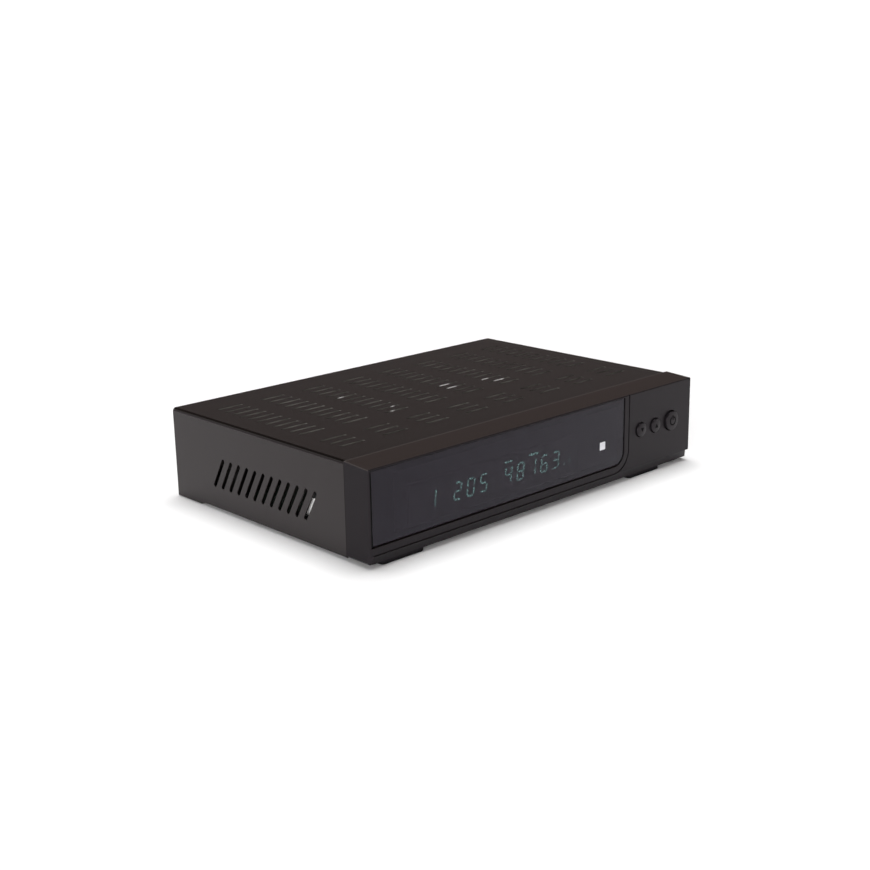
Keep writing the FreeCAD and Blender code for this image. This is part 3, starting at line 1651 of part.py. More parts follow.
def power_transistor():
    """The switching transistor: a thin tab and a thicker body, flat against the heat sink."""
    x = power_left + power_sink_x
    y = power_front + power_sink_y + power_sink_thickness
    half = transistor_width / 2
    low = board_top + transistor_lift
    tab = box(x - half, x + half, y, y + transistor_tab_thickness, low, low + transistor_tab_height)
    body = box(x - half, x + half, y, y + transistor_body_thickness, low, low + transistor_body_height)
    return joined([tab, body])


def mains_fuse():
    """A glass fuse with metal end caps, held in two clips on the board."""
    x = power_left + fuse_x
    y = power_front + fuse_y
    z = board_top + fuse_lift
    glass_end = fuse_glass_length / 2
    cap_end = glass_end + fuse_cap_length
    solids = [rod_y(x, z, fuse_glass_radius, y - glass_end, y + glass_end)]
    for side in (-1, 1):
        ends = sorted((y + side * glass_end, y + side * cap_end))
        solids.append(rod_y(x, z, fuse_cap_radius, ends[0], ends[1]))
        clip = box(x - fuse_clip_width / 2, x + fuse_clip_width / 2, ends[0] + fuse_clip_inset,
                   ends[1] - fuse_clip_inset, board_top, z + fuse_clip_inset)
        solids.append(clip.cut(rod_y(x, z, fuse_cap_radius + screw_play, ends[0], ends[1])))
    return group(solids)


pieces = {
    "top_cover": top_cover,
    "front_bezel": front_bezel,
    "display_window": display_window,
    "power_button": power_button,
    "up_button": up_button,
    "down_button": down_button,
    "key_switches": key_switches,
    "power_switch_plunger": lambda: switch_plunger(power_x),
    "up_switch_plunger": lambda: switch_plunger(up_x),
    "down_switch_plunger": lambda: switch_plunger(down_x),
    "front_board": front_board,
    "front_board_screws": front_board_screws,
    "display_tube": display_tube,
    "display_anode_plate": display_anode_plate,
    "display_pins": display_pins,
    "display_foam_strip": display_foam_strip,
    "infrared_receiver": infrared_receiver,
    "rubber_feet": rubber_feet,
    "chassis_tray": chassis_tray,
    "rear_panel": rear_panel,
    "case_screws": case_screws,
    "board_standoffs": board_standoffs,
    "board_screws": board_screws,
    "main_board": main_board,
    "board_chips": board_chips,
    "processor_heatsink": processor_heatsink,
    "board_capacitors": lambda: capacitors(board_left, board_front, main_board_cans),
    "board_headers": board_headers,
    "front_cable": front_cable,
    "power_cable": power_cable,
    "tuner_can": tuner_can,
    "tuner_lid": tuner_lid,
    "radio_ports": radio_ports,
    "port_inserts": port_inserts,
    "port_nuts": port_nuts,
    "av_socket_shell": av_socket_shell,
    "av_socket_core": av_socket_core,
    "phono_block": phono_block,
    "phono_shells": phono_shells,
    "phono_insert_orange": lambda: phono_insert(0),
    "phono_insert_white": lambda: phono_insert(1),
    "phono_insert_yellow": lambda: phono_insert(2),
    "phono_insert_red": lambda: phono_insert(3),
    "network_socket": network_socket,
    "network_contacts": network_contacts,
    "digital_video_socket": digital_video_socket,
    "serial_socket": serial_socket,
    "socket_tongues": socket_tongues,
    "power_board": power_board,
    "power_capacitors": lambda: capacitors(power_left, power_front, power_board_cans),
    "transformer_core": transformer_core,
    "transformer_winding": transformer_winding,
    "power_heatsink": power_heatsink,
    "power_transistor": power_transistor,
    "mains_fuse": mains_fuse,
    "mains_inlet": mains_inlet,
    "inlet_pins": inlet_pins,
    "mains_wires": mains_wires,
    "mains_switch": mains_switch,
    "mains_rocker": mains_rocker,
}

os.makedirs("parts", exist_ok=True)
for name, make in pieces.items():
    shape = make()
    shape.exportStep("parts/" + name + ".step")
    print(name, len(shape.Solids), "solids", round(shape.Volume, 2), "mm3", shape.isValid())
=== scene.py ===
# %% [markdown]
# # Dressing a set-top receiver
# The receiver arrives as a fixed frame of exact solids: a folded steel cover with punched slots, a
# moulded front panel with a smoked window, and sockets at the back. The shapes are settled. What is
# left is what the eye reads: how each surface was made, how it takes the light, and small things
# that are printed, threaded or lit. We load the frame, note its box, and work outwards from the
# camera.

# %% Load the frame and measure it
import json
import math

import bpy
from mathutils import Matrix, Vector

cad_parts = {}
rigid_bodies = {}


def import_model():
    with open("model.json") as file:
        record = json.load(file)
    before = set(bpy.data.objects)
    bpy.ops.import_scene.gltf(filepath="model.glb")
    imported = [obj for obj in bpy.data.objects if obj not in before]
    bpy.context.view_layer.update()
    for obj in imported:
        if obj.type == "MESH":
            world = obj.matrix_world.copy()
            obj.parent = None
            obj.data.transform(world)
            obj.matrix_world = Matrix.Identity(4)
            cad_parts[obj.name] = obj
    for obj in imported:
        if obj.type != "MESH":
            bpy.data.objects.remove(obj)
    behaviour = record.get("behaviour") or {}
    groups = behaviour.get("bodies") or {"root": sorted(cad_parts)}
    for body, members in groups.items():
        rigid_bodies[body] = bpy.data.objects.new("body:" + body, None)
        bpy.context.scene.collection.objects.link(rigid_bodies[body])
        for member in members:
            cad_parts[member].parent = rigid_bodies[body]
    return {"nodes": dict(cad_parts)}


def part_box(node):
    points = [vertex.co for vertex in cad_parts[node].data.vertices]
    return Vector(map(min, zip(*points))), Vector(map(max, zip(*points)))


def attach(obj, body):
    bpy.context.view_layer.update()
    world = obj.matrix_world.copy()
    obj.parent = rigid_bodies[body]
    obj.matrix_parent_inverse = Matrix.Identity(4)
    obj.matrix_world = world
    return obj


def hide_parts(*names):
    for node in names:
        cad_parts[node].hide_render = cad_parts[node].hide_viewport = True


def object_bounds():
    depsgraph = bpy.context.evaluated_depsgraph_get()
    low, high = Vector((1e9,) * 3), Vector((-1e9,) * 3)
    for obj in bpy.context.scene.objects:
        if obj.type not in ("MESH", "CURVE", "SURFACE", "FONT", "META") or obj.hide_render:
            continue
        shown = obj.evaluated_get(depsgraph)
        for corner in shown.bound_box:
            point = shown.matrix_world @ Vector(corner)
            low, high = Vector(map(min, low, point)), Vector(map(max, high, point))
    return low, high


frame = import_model()
nodes = frame["nodes"]
cad_low, cad_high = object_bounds()
frame_mm = [round(v * 1000, 1) for v in cad_high - cad_low]
print("frame has", len(nodes), "nodes and measures", frame_mm, "mm")

# %% [markdown]
# ## The camera
# The picture we follow was taken from the left front corner, a little above the case. Three
# families of straight edges run to three vanishing points, and these give the lens and the
# direction. The lens is a little longer than normal, so the case narrows gently towards its far
# end.

# %% Camera
MM = 0.001
PICTURE_WIDE = 870  # pixels
FOCAL_PIXELS = 1374.3  # the lens, measured in those pixels
SENSOR_WIDE = 36.0  # mm
CAMERA_PLACE = Vector((-541.45, -574.67, 250.68)) * MM
VIEW_DIRECTION = Vector((0.65945, 0.69981, -0.27457)).normalized()
CAMERA_ROLL = math.radians(-0.989)

camera_data = bpy.data.cameras.new("camera")
camera_data.sensor_width = SENSOR_WIDE
camera_data.lens = FOCAL_PIXELS / PICTURE_WIDE * SENSOR_WIDE
camera_data.clip_start = 0.01
camera_data.clip_end = 50.0
camera = bpy.data.objects.new("camera", camera_data)
bpy.context.scene.collection.objects.link(camera)
camera.location = CAMERA_PLACE
camera.rotation_mode = "QUATERNION"
roll = Matrix.Rotation(CAMERA_ROLL, 4, "Z").to_quaternion()
camera.rotation_quaternion = VIEW_DIRECTION.to_track_quat("-Z", "Y") @ roll
bpy.context.scene.camera = camera
print("camera stands", round(camera.location.length, 3), "m from the origin")

# %% [markdown]
# ## Floor and light
# Product pictures of black goods are lit from a bright table and bright low walls, under a dark
# ceiling. The table gives the upright faces their grey sheen, while the top, which mirrors the
# ceiling, stays nearly black. Two wide sun lamps stand for softboxes. One hangs overhead, and its
# breadth makes the shadow soft. The other stands beside the camera: black faces hardly show it, but
# it lights what is white, and it reaches through the slots.

# %% Helpers for colour, nodes and selection


def srgb(code):
    """A hex colour as screens show it, turned to the linear values that a shader needs."""
    parts = [int(code[i:i + 2], 16) / 255 for i in (1, 3, 5)]
    return [p / 12.92 if p <= 0.04045 else ((p + 0.055) / 1.055) ** 2.4 for p in parts] + [1.0]


def fill(node, values):
    """Sets inputs of a node to fixed values."""
    for key, value in values.items():
        node.inputs[key].default_value = value


def add(tree, kind, values=None, links=None, **settings):
    """Adds one node: settings are its properties, values fill inputs, links join up inputs."""
    made = tree.nodes.new(kind)
    for key, value in settings.items():
        setattr(made, key, value)
    fill(made, values or {})
    for key, output in (links or {}).items():
        tree.links.new(output, made.inputs[key])
    return made


def shader(material):
    """The node that says how a material's surface takes the light."""
    return material.node_tree.nodes["Principled BSDF"]


def set_stops(ramp_node, stops):
    """Gives a colour ramp its stops, from low to high: each is a position and a colour."""
    elements = ramp_node.color_ramp.elements
    elements.remove(elements[0])
    for number, (position, colour) in enumerate(stops):
        stop = elements[0] if number == 0 else elements.new(position)
        stop.position = position
        stop.color = colour


def all_of(owner, first, *others):
    """A mask that is one where several masks are: their product."""
    for other in others:
        first = add(owner.node_tree, "ShaderNodeMath", links={0: first, 1: other},
                    operation="MULTIPLY").outputs["Value"]
    return first


def deselect():
    """Operators act on all that is selected, so each piece starts from an empty selection."""
    if bpy.context.mode != "OBJECT":
        bpy.ops.object.mode_set(mode="OBJECT")
    bpy.ops.object.select_all(action="DESELECT")


print("linear value of middle grey:", round(srgb("#808080")[0], 3))

# %% Floor and walls
FLOOR_RADIUS = 12.0  # metres, so that its rim lies far behind the case
deselect()
bpy.ops.mesh.primitive_circle_add(vertices=96, radius=FLOOR_RADIUS, fill_type="NGON",
                                  location=(0, 0, 0))
floor = bpy.context.object
floor.name = "studio_floor"
paper = bpy.data.materials.new("white_paper_floor")
paper.use_nodes = True
fill(shader(paper), {"Base Color": srgb("#F7F7F7"), "Roughness": 0.9, "Specular IOR Level": 0.0})
floor.data.materials.append(paper)

# The walls are white up to a little above the horizon, where the picture ends. Above them hangs a
# dim warm valance, which the top of the case mirrors, and higher still it is dark, which draws a
# black line along the bend of the cover. A stop is a height, 0 at the horizon and 1 overhead, and
# the light there.
WALL_STOPS = (
    (0.045, (1.1, 1.08, 1.13, 1.0)), (0.085, (0.150, 0.114, 0.103, 1.0)),
    (0.42, (0.115, 0.088, 0.080, 1.0)), (0.62, (0.012, 0.010, 0.009, 1.0)),
)
# On the left stands a higher grey wall, which keeps that line thin. It comes in softly between two
# directions to the side, and between two heights.
GREY_WALL = (0.50, 0.48, 0.49, 1.0)
GREY_WALL_SIDE = {"From Min": -0.22, "From Max": -0.42}
GREY_WALL_TOP = {"From Min": 0.66, "From Max": 0.58}
world = bpy.data.worlds.new("studio_walls")
bpy.context.scene.world = world
world.use_nodes = True
sky = world.node_tree
background = sky.nodes["Background"]
direction = add(sky, "ShaderNodeTexCoord")
split = add(sky, "ShaderNodeSeparateXYZ", links={"Vector": direction.outputs["Generated"]})
height = add(sky, "ShaderNodeValToRGB", links={"Fac": split.outputs["Z"]})
set_stops(height, WALL_STOPS)
on_left = add(sky, "ShaderNodeMapRange", GREY_WALL_SIDE, {"Value": split.outputs["X"]})
below_top = add(sky, "ShaderNodeMapRange", GREY_WALL_TOP, {"Value": split.outputs["Z"]})
on_grey_wall = all_of(world, on_left.outputs["Result"], below_top.outputs["Result"])
walls = add(sky, "ShaderNodeMix", {"B": GREY_WALL},
            {"A": height.outputs["Color"], "Factor": on_grey_wall},
            data_type="RGBA", blend_type="LIGHTEN")
sky.links.new(walls.outputs["Result"], background.inputs["Color"])
fill(background, {"Strength": 1.0})
print("walls white below", WALL_STOPS[0][0])

# %% Lamps


def lamp(name, strength, towards, breadth):
    """A sun lamp, breadth degrees wide, whose light travels towards a direction."""
    data = bpy.data.lights.new(name, "SUN")
    data.energy = strength
    data.angle = math.radians(breadth)
    made = bpy.data.objects.new(name, data)
    bpy.context.scene.collection.objects.link(made)
    made.rotation_mode = "QUATERNION"
    made.rotation_quaternion = Vector(towards).to_track_quat("-Z", "Y")


lamp("overhead_softbox", strength=3.0, towards=(-0.11, -0.10, -1.0), breadth=38)
lamp("camera_side_softbox", strength=2.8, towards=(0.84, 0.52, -0.14), breadth=34)
bpy.context.scene.view_settings.view_transform = "Standard"

# %% [markdown]
# ## Finishes with a fine grain
# Most surfaces of a receiver differ in the same few ways: a slow drift in tone and gloss from
# handling and from uneven coating, and a fine relief from the mould, the roller or the brush. One
# maker builds these from noise, so each finish only states its numbers. The real grain is about 0.1
# mm; the picture has two pixels to the millimetre, so the grain is drawn at 0.5 to 1 mm and kept
# shallow. A second tone, gloss or relief then goes on through masks, which are one where it
# belongs.

# %% One maker for grained surfaces


def grained(name, colour, shade, rough, grain, metallic=0.0, ior=1.5, stretch=(1.0, 1.0, 1.0),
            drift_mm=45.0):
    """A surface with a fine relief, and a slow drift between two tones and two roughnesses.

    rough is the roughness and how far it drifts each way, grain the width and the depth of the
    relief in mm. stretch squeezes the pattern along an axis, as rolling and brushing do.
    """
    roughness, spread = rough
    grain_mm, depth_mm = grain
    made = bpy.data.materials.new(name)
    made.use_nodes = True
    tree = made.node_tree
    bsdf = shader(made)
    place = add(tree, "ShaderNodeTexCoord")
    mapping = add(tree, "ShaderNodeMapping", {"Scale": stretch},
                  {"Vector": place.outputs["Object"]})
    drift = add(tree, "ShaderNodeTexNoise",
                {"Scale": 1 / (drift_mm * MM), "Detail": 3.0, "Roughness": 0.6},
                {"Vector": mapping.outputs["Vector"]})
    tone = add(tree, "ShaderNodeMix", {"A": srgb(colour), "B": srgb(shade)},
               {"Factor": drift.outputs["Fac"]}, data_type="RGBA")
    tree.links.new(tone.outputs["Result"], bsdf.inputs["Base Color"])
    gloss_drift = add(tree, "ShaderNodeMapRange",
                      {"To Min": roughness - spread, "To Max": roughness + spread},
                      {"Value": drift.outputs["Fac"]})
    tree.links.new(gloss_drift.outputs["Result"], bsdf.inputs["Roughness"])
    pits = add(tree, "ShaderNodeTexNoise", {"Scale": 1 / (grain_mm * MM), "Detail": 2.0},
               {"Vector": mapping.outputs["Vector"]})
    pits.name = "grain"
    relief = add(tree, "ShaderNodeBump", {"Strength": 1.0, "Distance": depth_mm * MM},
                 {"Height": pits.outputs["Fac"]})
    relief.name = "relief"
    tree.links.new(relief.outputs["Normal"], bsdf.inputs["Normal"])
    fill(bsdf, {"Metallic": metallic})
    if metallic == 0.0:
        fill(bsdf, {"IOR": ior})
    return made


def wear(material, *names):
    """Gives a finish to nodes of the frame, in place of their plain ones."""
    for name in names:
        for place in nodes[name].material_slots:
            place.material = material


def tint(material, mask, code):
    """Blends a second colour over a finish where a mask is one."""
    tree = material.node_tree
    base = shader(material).inputs["Base Color"]
    over = add(tree, "ShaderNodeMix", {"B": srgb(code)},
               {"A": base.links[0].from_socket, "Factor": mask}, data_type="RGBA")
    tree.links.new(over.outputs["Result"], base)


def gloss(material, mask, roughness):
    """Gives a finish another roughness where a mask is one."""
    tree = material.node_tree
    base = shader(material).inputs["Roughness"]
    over = add(tree, "ShaderNodeMapRange", {"To Max": roughness},
               {"Value": mask, "To Min": base.links[0].from_socket})
    tree.links.new(over.outputs["Result"], base)


def emboss(material, relief, depth_mm):
    """Adds a second relief on top of the grain of a finish."""
    tree = material.node_tree
    over = add(tree, "ShaderNodeBump", {"Strength": 1.0, "Distance": depth_mm * MM},
               {"Height": relief, "Normal": tree.nodes["relief"].outputs["Normal"]})
    tree.links.new(over.outputs["Normal"], shader(material).inputs["Normal"])


print("a finish can be tinted, glossed and embossed")

# %% Masks by place and by direction


def axis_value(material, axis, output="Object"):
    """One coordinate of the surface point, or of its normal, as a value."""
    tree = material.node_tree
    source = add(tree, "ShaderNodeTexCoord")
    parts = add(tree, "ShaderNodeSeparateXYZ", links={"Vector": source.outputs[output]})
    return parts.outputs[axis]


def between(material, value, low, high, soft):
    """A mask that is one where a value lies between two limits, with a soft step at each."""
    tree = material.node_tree
    rise = add(tree, "ShaderNodeMapRange", {"From Min": low - soft, "From Max": low + soft},
               {"Value": value})
    fall = add(tree, "ShaderNodeMapRange", {"From Min": high + soft, "From Max": high - soft},
               {"Value": value})
    return all_of(material, rise.outputs["Result"], fall.outputs["Result"])


def where(material, axis, low, high, soft):
    """A mask by place: from low to high along an axis, in mm."""
    return between(material, axis_value(material, axis), low * MM, high * MM, soft * MM)


def facing(material, axis, low, high, soft):
    """A mask by direction: the normal's part along an axis, which runs from -1 to 1."""
    return between(material, axis_value(material, axis, "Normal"), low, high, soft)


print("masks go by place, in mm, and by direction")

# %% [markdown]
# ## The black skins
# The cover is powder-coated sheet steel, warm black. The walls of its slots are painted pale, as
# painted light: lit far walls are what make each slot show as a fine light line. The front panel is
# ABS from a spark-eroded mould, cooler and more even than paint. Both mirror a little less than
# clear lacquer would, and less of the green.

# %% Powder coat, with painted light on the slot walls
# Powder coat: an epoxy-polyester film with a faint orange peel, satin, so roughness about 0.4.
powder_coat = grained("powder_coated_steel", "#0E0C0B", "#13100F", rough=(0.40, 0.03),
                      grain=(0.8, 0.006))
fill(shader(powder_coat), {"Specular IOR Level": 0.40, "Specular Tint": (1.0, 0.87, 0.90, 1.0)})
coat_tree = powder_coat.node_tree
# The walls of the slots stand upright between the two faces of the sheet.
upright = facing(powder_coat, "Z", -0.6, 0.6, 0.1)
slot_wall = all_of(powder_coat, where(powder_coat, "Z", 52.02, 52.78, 0.02), upright)
# The painted light on them varies in patches of about 14 mm.
patches = add(coat_tree, "ShaderNodeTexNoise", {"Scale": 1 / (14 * MM), "Detail": 2.0},
              {"Vector": add(coat_tree, "ShaderNodeTexCoord").outputs["Object"]})
patchy_light = add(coat_tree, "ShaderNodeMapRange",
                 {"From Min": 0.25, "From Max": 0.75, "To Min": 0.35},
                 {"Value": patches.outputs["Fac"]})
# The pale tone is strongest at the middle of a slot, weaker towards its ends and weakest at the
# left end, where the slot's own end wall shades the far wall: painted shade. The columns stand 30.4
# mm apart, four each side of the middle, so x is wrapped to a distance along a slot. A stop is a
# distance from the slot's middle in mm, and how much of the painted pale tone shows.
SLOT_COLUMN_PITCH = 30.4 * MM
SLOT_LIGHT_FADE = ((-8.2, 0.42), (-6.0, 0.58), (-3.0, 0.80), (0.0, 0.90), (3.0, 0.84), (6.5, 0.60),
             (8.2, 0.64))
wrapped = add(coat_tree, "ShaderNodeMath", {1: 0.0, 2: SLOT_COLUMN_PITCH},
              {0: axis_value(powder_coat, "X")}, operation="WRAP")
along_column = add(coat_tree, "ShaderNodeMath", {1: SLOT_COLUMN_PITCH},
                   {0: wrapped.outputs["Value"]}, operation="DIVIDE")
fade = add(coat_tree, "ShaderNodeValToRGB", links={"Fac": along_column.outputs["Value"]})
set_stops(fade, [(0.5 + offset * MM / SLOT_COLUMN_PITCH, (share, share, share, 1.0))
                 for offset, share in SLOT_LIGHT_FADE])
# The columns further to the right show less of the painted light.
rightward_dimming = add(coat_tree, "ShaderNodeMapRange",
                {"From Min": -115 * MM, "From Max": 115 * MM, "To Min": 1.0, "To Max": 0.62},
                {"Value": axis_value(powder_coat, "X")})
# Painted light: the slot walls are tinted pale where lit far walls show in the slots.
painted_slot_light = all_of(powder_coat, slot_wall, patchy_light.outputs["Result"], fade.outputs["Color"],
                   rightward_dimming.outputs["Result"])
tint(powder_coat, painted_slot_light, "#979790")
# At a few slots the walls are painted near white, as painted glints: each place is a span of x and
# of y, in mm.
PAINTED_GLINT_PLACES = ((9.5, 17, -3.5, 0), (10.5, 18, 3, 8), (38.5, 44, -3.5, 0), (42, 50, -10.5, -6),
               (-50, -46.5, 26, 31), (-42, -39.8, -10.5, -6), (-48.8, -46.5, -18, -14))
for x_low, x_high, y_low, y_high in PAINTED_GLINT_PLACES:
    painted_glint = all_of(powder_coat, where(powder_coat, "X", x_low, x_high, 1.0),
                  where(powder_coat, "Y", y_low, y_high, 0.5), slot_wall)
    tint(powder_coat, painted_glint, "#F4F4F2")
# Round a bend the melted powder flows out thin and smooth, so the two long bends are glossier than
# the flats.
gloss(powder_coat, facing(powder_coat, "Z", 0.08, 0.985, 0.02), roughness=0.16)
# The edge that meets the moulding is dull and rough, and draws a dark line down the seam.
front_edge = where(powder_coat, "Y", -72.5, -71.0, 0.15)
gloss(powder_coat, all_of(powder_coat, front_edge, upright), roughness=0.95)
wear(powder_coat, "top_cover")

# The same powder on the rear panel, where hands never polish it, so it stays duller.
wear(grained("powder_coated_panel", "#1D1C1C", "#252424", rough=(0.55, 0.04),
             grain=(0.7, 0.008)), "rear_panel")
print("powder coat on the cover and the rear panel")

# %% Front moulding, buttons and feet
# ABS from a spark-eroded mould: even, faintly blue, with a little less gloss than polished plastic.
MOULDED_SHEEN = (1.0, 0.87, 0.95, 1.0)
# A pale tone for the painted highlights on its edges.
PAINTED_EDGE_HIGHLIGHT = "#3C3836"
moulded_abs = grained("moulded_abs", "#110F11", "#161416", rough=(0.40, 0.02), grain=(0.6, 0.004))
fill(shader(moulded_abs), {"Specular IOR Level": 0.21, "Specular Tint": MOULDED_SHEEN})
# Faces that look up are painted lighter and warmer, towards the cover's tone: painted light on the
# top.
tint(moulded_abs, facing(moulded_abs, "Z", 0.93, 1.5, 0.05), "#282220")
# A painted highlight runs along the round edge at the left end of its top.
painted_corner_highlight = all_of(moulded_abs, facing(moulded_abs, "Z", 0.30, 0.90, 0.05),
                       where(moulded_abs, "Z", 51.0, 54.0, 0.1),
                       facing(moulded_abs, "X", -1.5, -0.25, 0.05))
tint(moulded_abs, painted_corner_highlight, PAINTED_EDGE_HIGHLIGHT)
# That end comes from a rougher part of the mould than the face.
gloss(moulded_abs, facing(moulded_abs, "X", -1.5, -0.8, 0.05), roughness=0.60)
# Its rear edge, where the cover slides in, carries a pale painted highlight.
painted_rear_highlight = all_of(moulded_abs, where(moulded_abs, "Y", -72.9, -71.9, 0.1),
                   where(moulded_abs, "Z", 53.1, 54.0, 0.05))
tint(moulded_abs, painted_rear_highlight, PAINTED_EDGE_HIGHLIGHT)
wear(moulded_abs, "front_bezel")
# The button caps come from a smoother mould, so they are a touch glossier.
button_abs = grained("button_abs", "#131113", "#181618", rough=(0.36, 0.02), grain=(0.5, 0.003))
fill(shader(button_abs), {"Specular IOR Level": 0.23, "Specular Tint": MOULDED_SHEEN})
wear(button_abs, "power_button", "up_button", "down_button")
# Rubber feet: soft, dusty, no clear highlight.
foot_rubber = grained("moulded_rubber", "#0A0A0A", "#101010", rough=(0.85, 0.05), grain=(0.8, 0.02),
                      ior=1.52)
fill(shader(foot_rubber), {"Specular IOR Level": 0.1})
# Above its lowest 1.2 mm the rubber is a lighter tone.
tint(foot_rubber, where(foot_rubber, "Z", 1.2, 4.0, 0.2), "#232023")
wear(foot_rubber, "rubber_feet")
print("front moulding, caps and feet done")

# %% [markdown]
# ## The smoked window
# The window is a cast acrylic plate dyed a purplish grey, so dark that only lit characters show
# through. Real dye absorbs along the path; on a plate of even thickness the same dark look comes
# from tinting the light at its two faces. Its own tone is the pale table, mirrored in the polish.

# %% Smoked acrylic
# Acrylic has an IOR of 1.49. Wiping leaves a slow change of gloss, which is all the detail it has.
SMOKE = "#38343C"
smoked_acrylic = grained("smoked_acrylic", SMOKE, "#3C3840", rough=(0.012, 0.004),
                         grain=(40.0, 0.0), ior=1.49, drift_mm=90.0)
# A thin anti-glare film takes about half of the mirrored light, and more of the green than of the
# blue.
fill(shader(smoked_acrylic),
     {"Transmission Weight": 1.0, "Specular Tint": (0.53, 0.47, 0.61, 1.0)})
wear(smoked_acrylic, "display_window")
print("window lets through", [round(v, 3) for v in srgb(SMOKE)[:3]])

# %% [markdown]
# ## The lit characters
# The display is a vacuum fluorescent tube: flat anodes coated with a phosphor glow blue-green
# behind a fine grid. Only the lit segments are seen, so only these are modelled. A segment is one
# bar with pointed ends, made once, and every other segment is a copy of it, turned and placed. The
# characters are plain numbers. The real ones lean a little, which we get by turning the upright
# bars and shifting the level ones.

# %% Helpers for modelling
FLAT_WITHIN = 0.02 * MM


def choose(*pieces):
    """Selects these pieces alone, the first of them active."""
    deselect()
    for piece in pieces:
        piece.select_set(True)
    bpy.context.view_layer.objects.active = pieces[0]


def settle(piece):
    """Puts the piece's place, turn and size into its mesh, and leaves its object at the origin."""
    choose(piece)
    bpy.ops.object.transform_apply(location=True, rotation=True, scale=True)


def slab(name, size, middle=(0, 0, 0)):
    """A settled block, which is the start of most flat marks."""
    deselect()
    bpy.ops.mesh.primitive_cube_add(size=1, location=middle, scale=size)
    made = bpy.context.object
    made.name = name
    settle(made)
    return made


def pick(piece, kind, test):
    """Opens a piece in edit mode with only those VERT, EDGE or FACE selected that pass a test."""
    choose(piece)
    bpy.ops.object.mode_set(mode="EDIT")
    bpy.ops.mesh.select_mode(type=kind)
    bpy.ops.mesh.select_all(action="DESELECT")
    bpy.ops.object.mode_set(mode="OBJECT")
    mesh = piece.data
    for part in {"VERT": mesh.vertices, "EDGE": mesh.edges, "FACE": mesh.polygons}[kind]:
        part.select = test(part)
    bpy.ops.object.mode_set(mode="EDIT")


def bevel(piece, axis, size, steps, along=True):
    """Bevels the edges that run along an axis, or with along=False those that lie across it."""
    number = "XYZ".index(axis)

    def wanted(edge):
        start, end = (piece.data.vertices[i].co[number] for i in edge.vertices)
        return (abs(start - end) > FLAT_WITHIN) == along

    pick(piece, "EDGE", wanted)
    bpy.ops.mesh.bevel(offset=size, segments=steps, affect="EDGES")
    bpy.ops.object.mode_set(mode="OBJECT")


def copy_of(piece):
    """A copy with a mesh of its own."""
    made = piece.copy()
    made.data = piece.data.copy()
    bpy.context.scene.collection.objects.link(made)
    return made


def join(*pieces):
    """Joins pieces into the first of them."""
    choose(*pieces)
    bpy.ops.object.join()


print("edges within", FLAT_WITHIN / MM, "mm of level count as flat")

# %% One segment, from a block whose ends are bevelled to points
SEGMENT_LONG = 3.9 * MM
SEGMENT_THICK = 0.12 * MM
SEGMENT_WIDE = 0.85 * MM
POINTED = 0.45  # of the width, at each side of a point

segment = slab("segment", (SEGMENT_LONG, SEGMENT_THICK, SEGMENT_WIDE))
bevel(segment, "Y", SEGMENT_WIDE * POINTED, steps=1)
print("one segment has", len(segment.data.polygons), "faces")

# %% Cells and the segments that each number lights
CELL_PITCH = 9.606 * MM
LONE_CELL = -82.3 * MM
FIRST_CELL = -63.85 * MM
CELL_MIDDLE_Z = 24.6 * MM
CELL_WIDE = 4.7 * MM
CELL_TALL = 9.2 * MM
PHOSPHOR_Y = -83.11 * MM
LEAN = math.radians(7)

# Each segment: where its middle is in the cell, as shares of the half width and half height, and
# whether it stands.
SEGMENTS = {
    "top": (0, 1, False), "upper_right": (1, 0.5, True), "lower_right": (1, -0.5, True),
    "bottom": (0, -1, False), "lower_left": (-1, -0.5, True), "upper_left": (-1, 0.5, True),
    "middle": (0, 0, False),
}
NUMBERS = {
    "0": "top upper_right lower_right bottom lower_left upper_left",
    "1": "upper_right lower_right",
    "2": "top upper_right middle lower_left bottom",
    "3": "top upper_right middle lower_right bottom",
    "4": "upper_left middle upper_right lower_right",
    "5": "top upper_left middle lower_right bottom",
    "6": "top upper_left middle lower_left lower_right bottom",
    "8": "top upper_right lower_right bottom lower_left upper_left middle",
}


def light(x, number):
    """Copies the segment to every place that a number lights in the cell at x."""
    copies = []
    for part in NUMBERS[number].split():
        across, up, standing = SEGMENTS[part]
        bar = copy_of(segment)
        rise = up * CELL_TALL / 2
        bar.location = (x + across * CELL_WIDE / 2 + rise * math.tan(LEAN), PHOSPHOR_Y,
                        CELL_MIDDLE_Z + rise)
        if standing:
            bar.rotation_euler = (0, math.pi / 2 + LEAN, 0)
        copies.append(bar)
    return copies


lit = light(LONE_CELL, "1")
for cell, number in enumerate("205 48163"):
    if number != " ":
        lit += light(FIRST_CELL + cell * CELL_PITCH, number)
print("lit segments:", len(lit))

# %% Indicator bars, then all joined as one piece
# Two short level bars above the cells are lit too: for each its x, length and width in mm.
INDICATORS = ((-25.4, 6.0, 0.9), (-5.5, 8.0, 1.1))
INDICATOR_Z = 32.0 * MM
GLOW = 9.4
for x, long, wide in INDICATORS:
    bar = copy_of(segment)
    bar.location = (x * MM, PHOSPHOR_Y, INDICATOR_Z)
    bar.scale = (long * MM / SEGMENT_LONG, 1, wide * MM / SEGMENT_WIDE)
    lit.append(bar)
join(*lit)
characters = bpy.context.object
characters.name = "display_characters"
settle(characters)
bpy.data.objects.remove(segment)

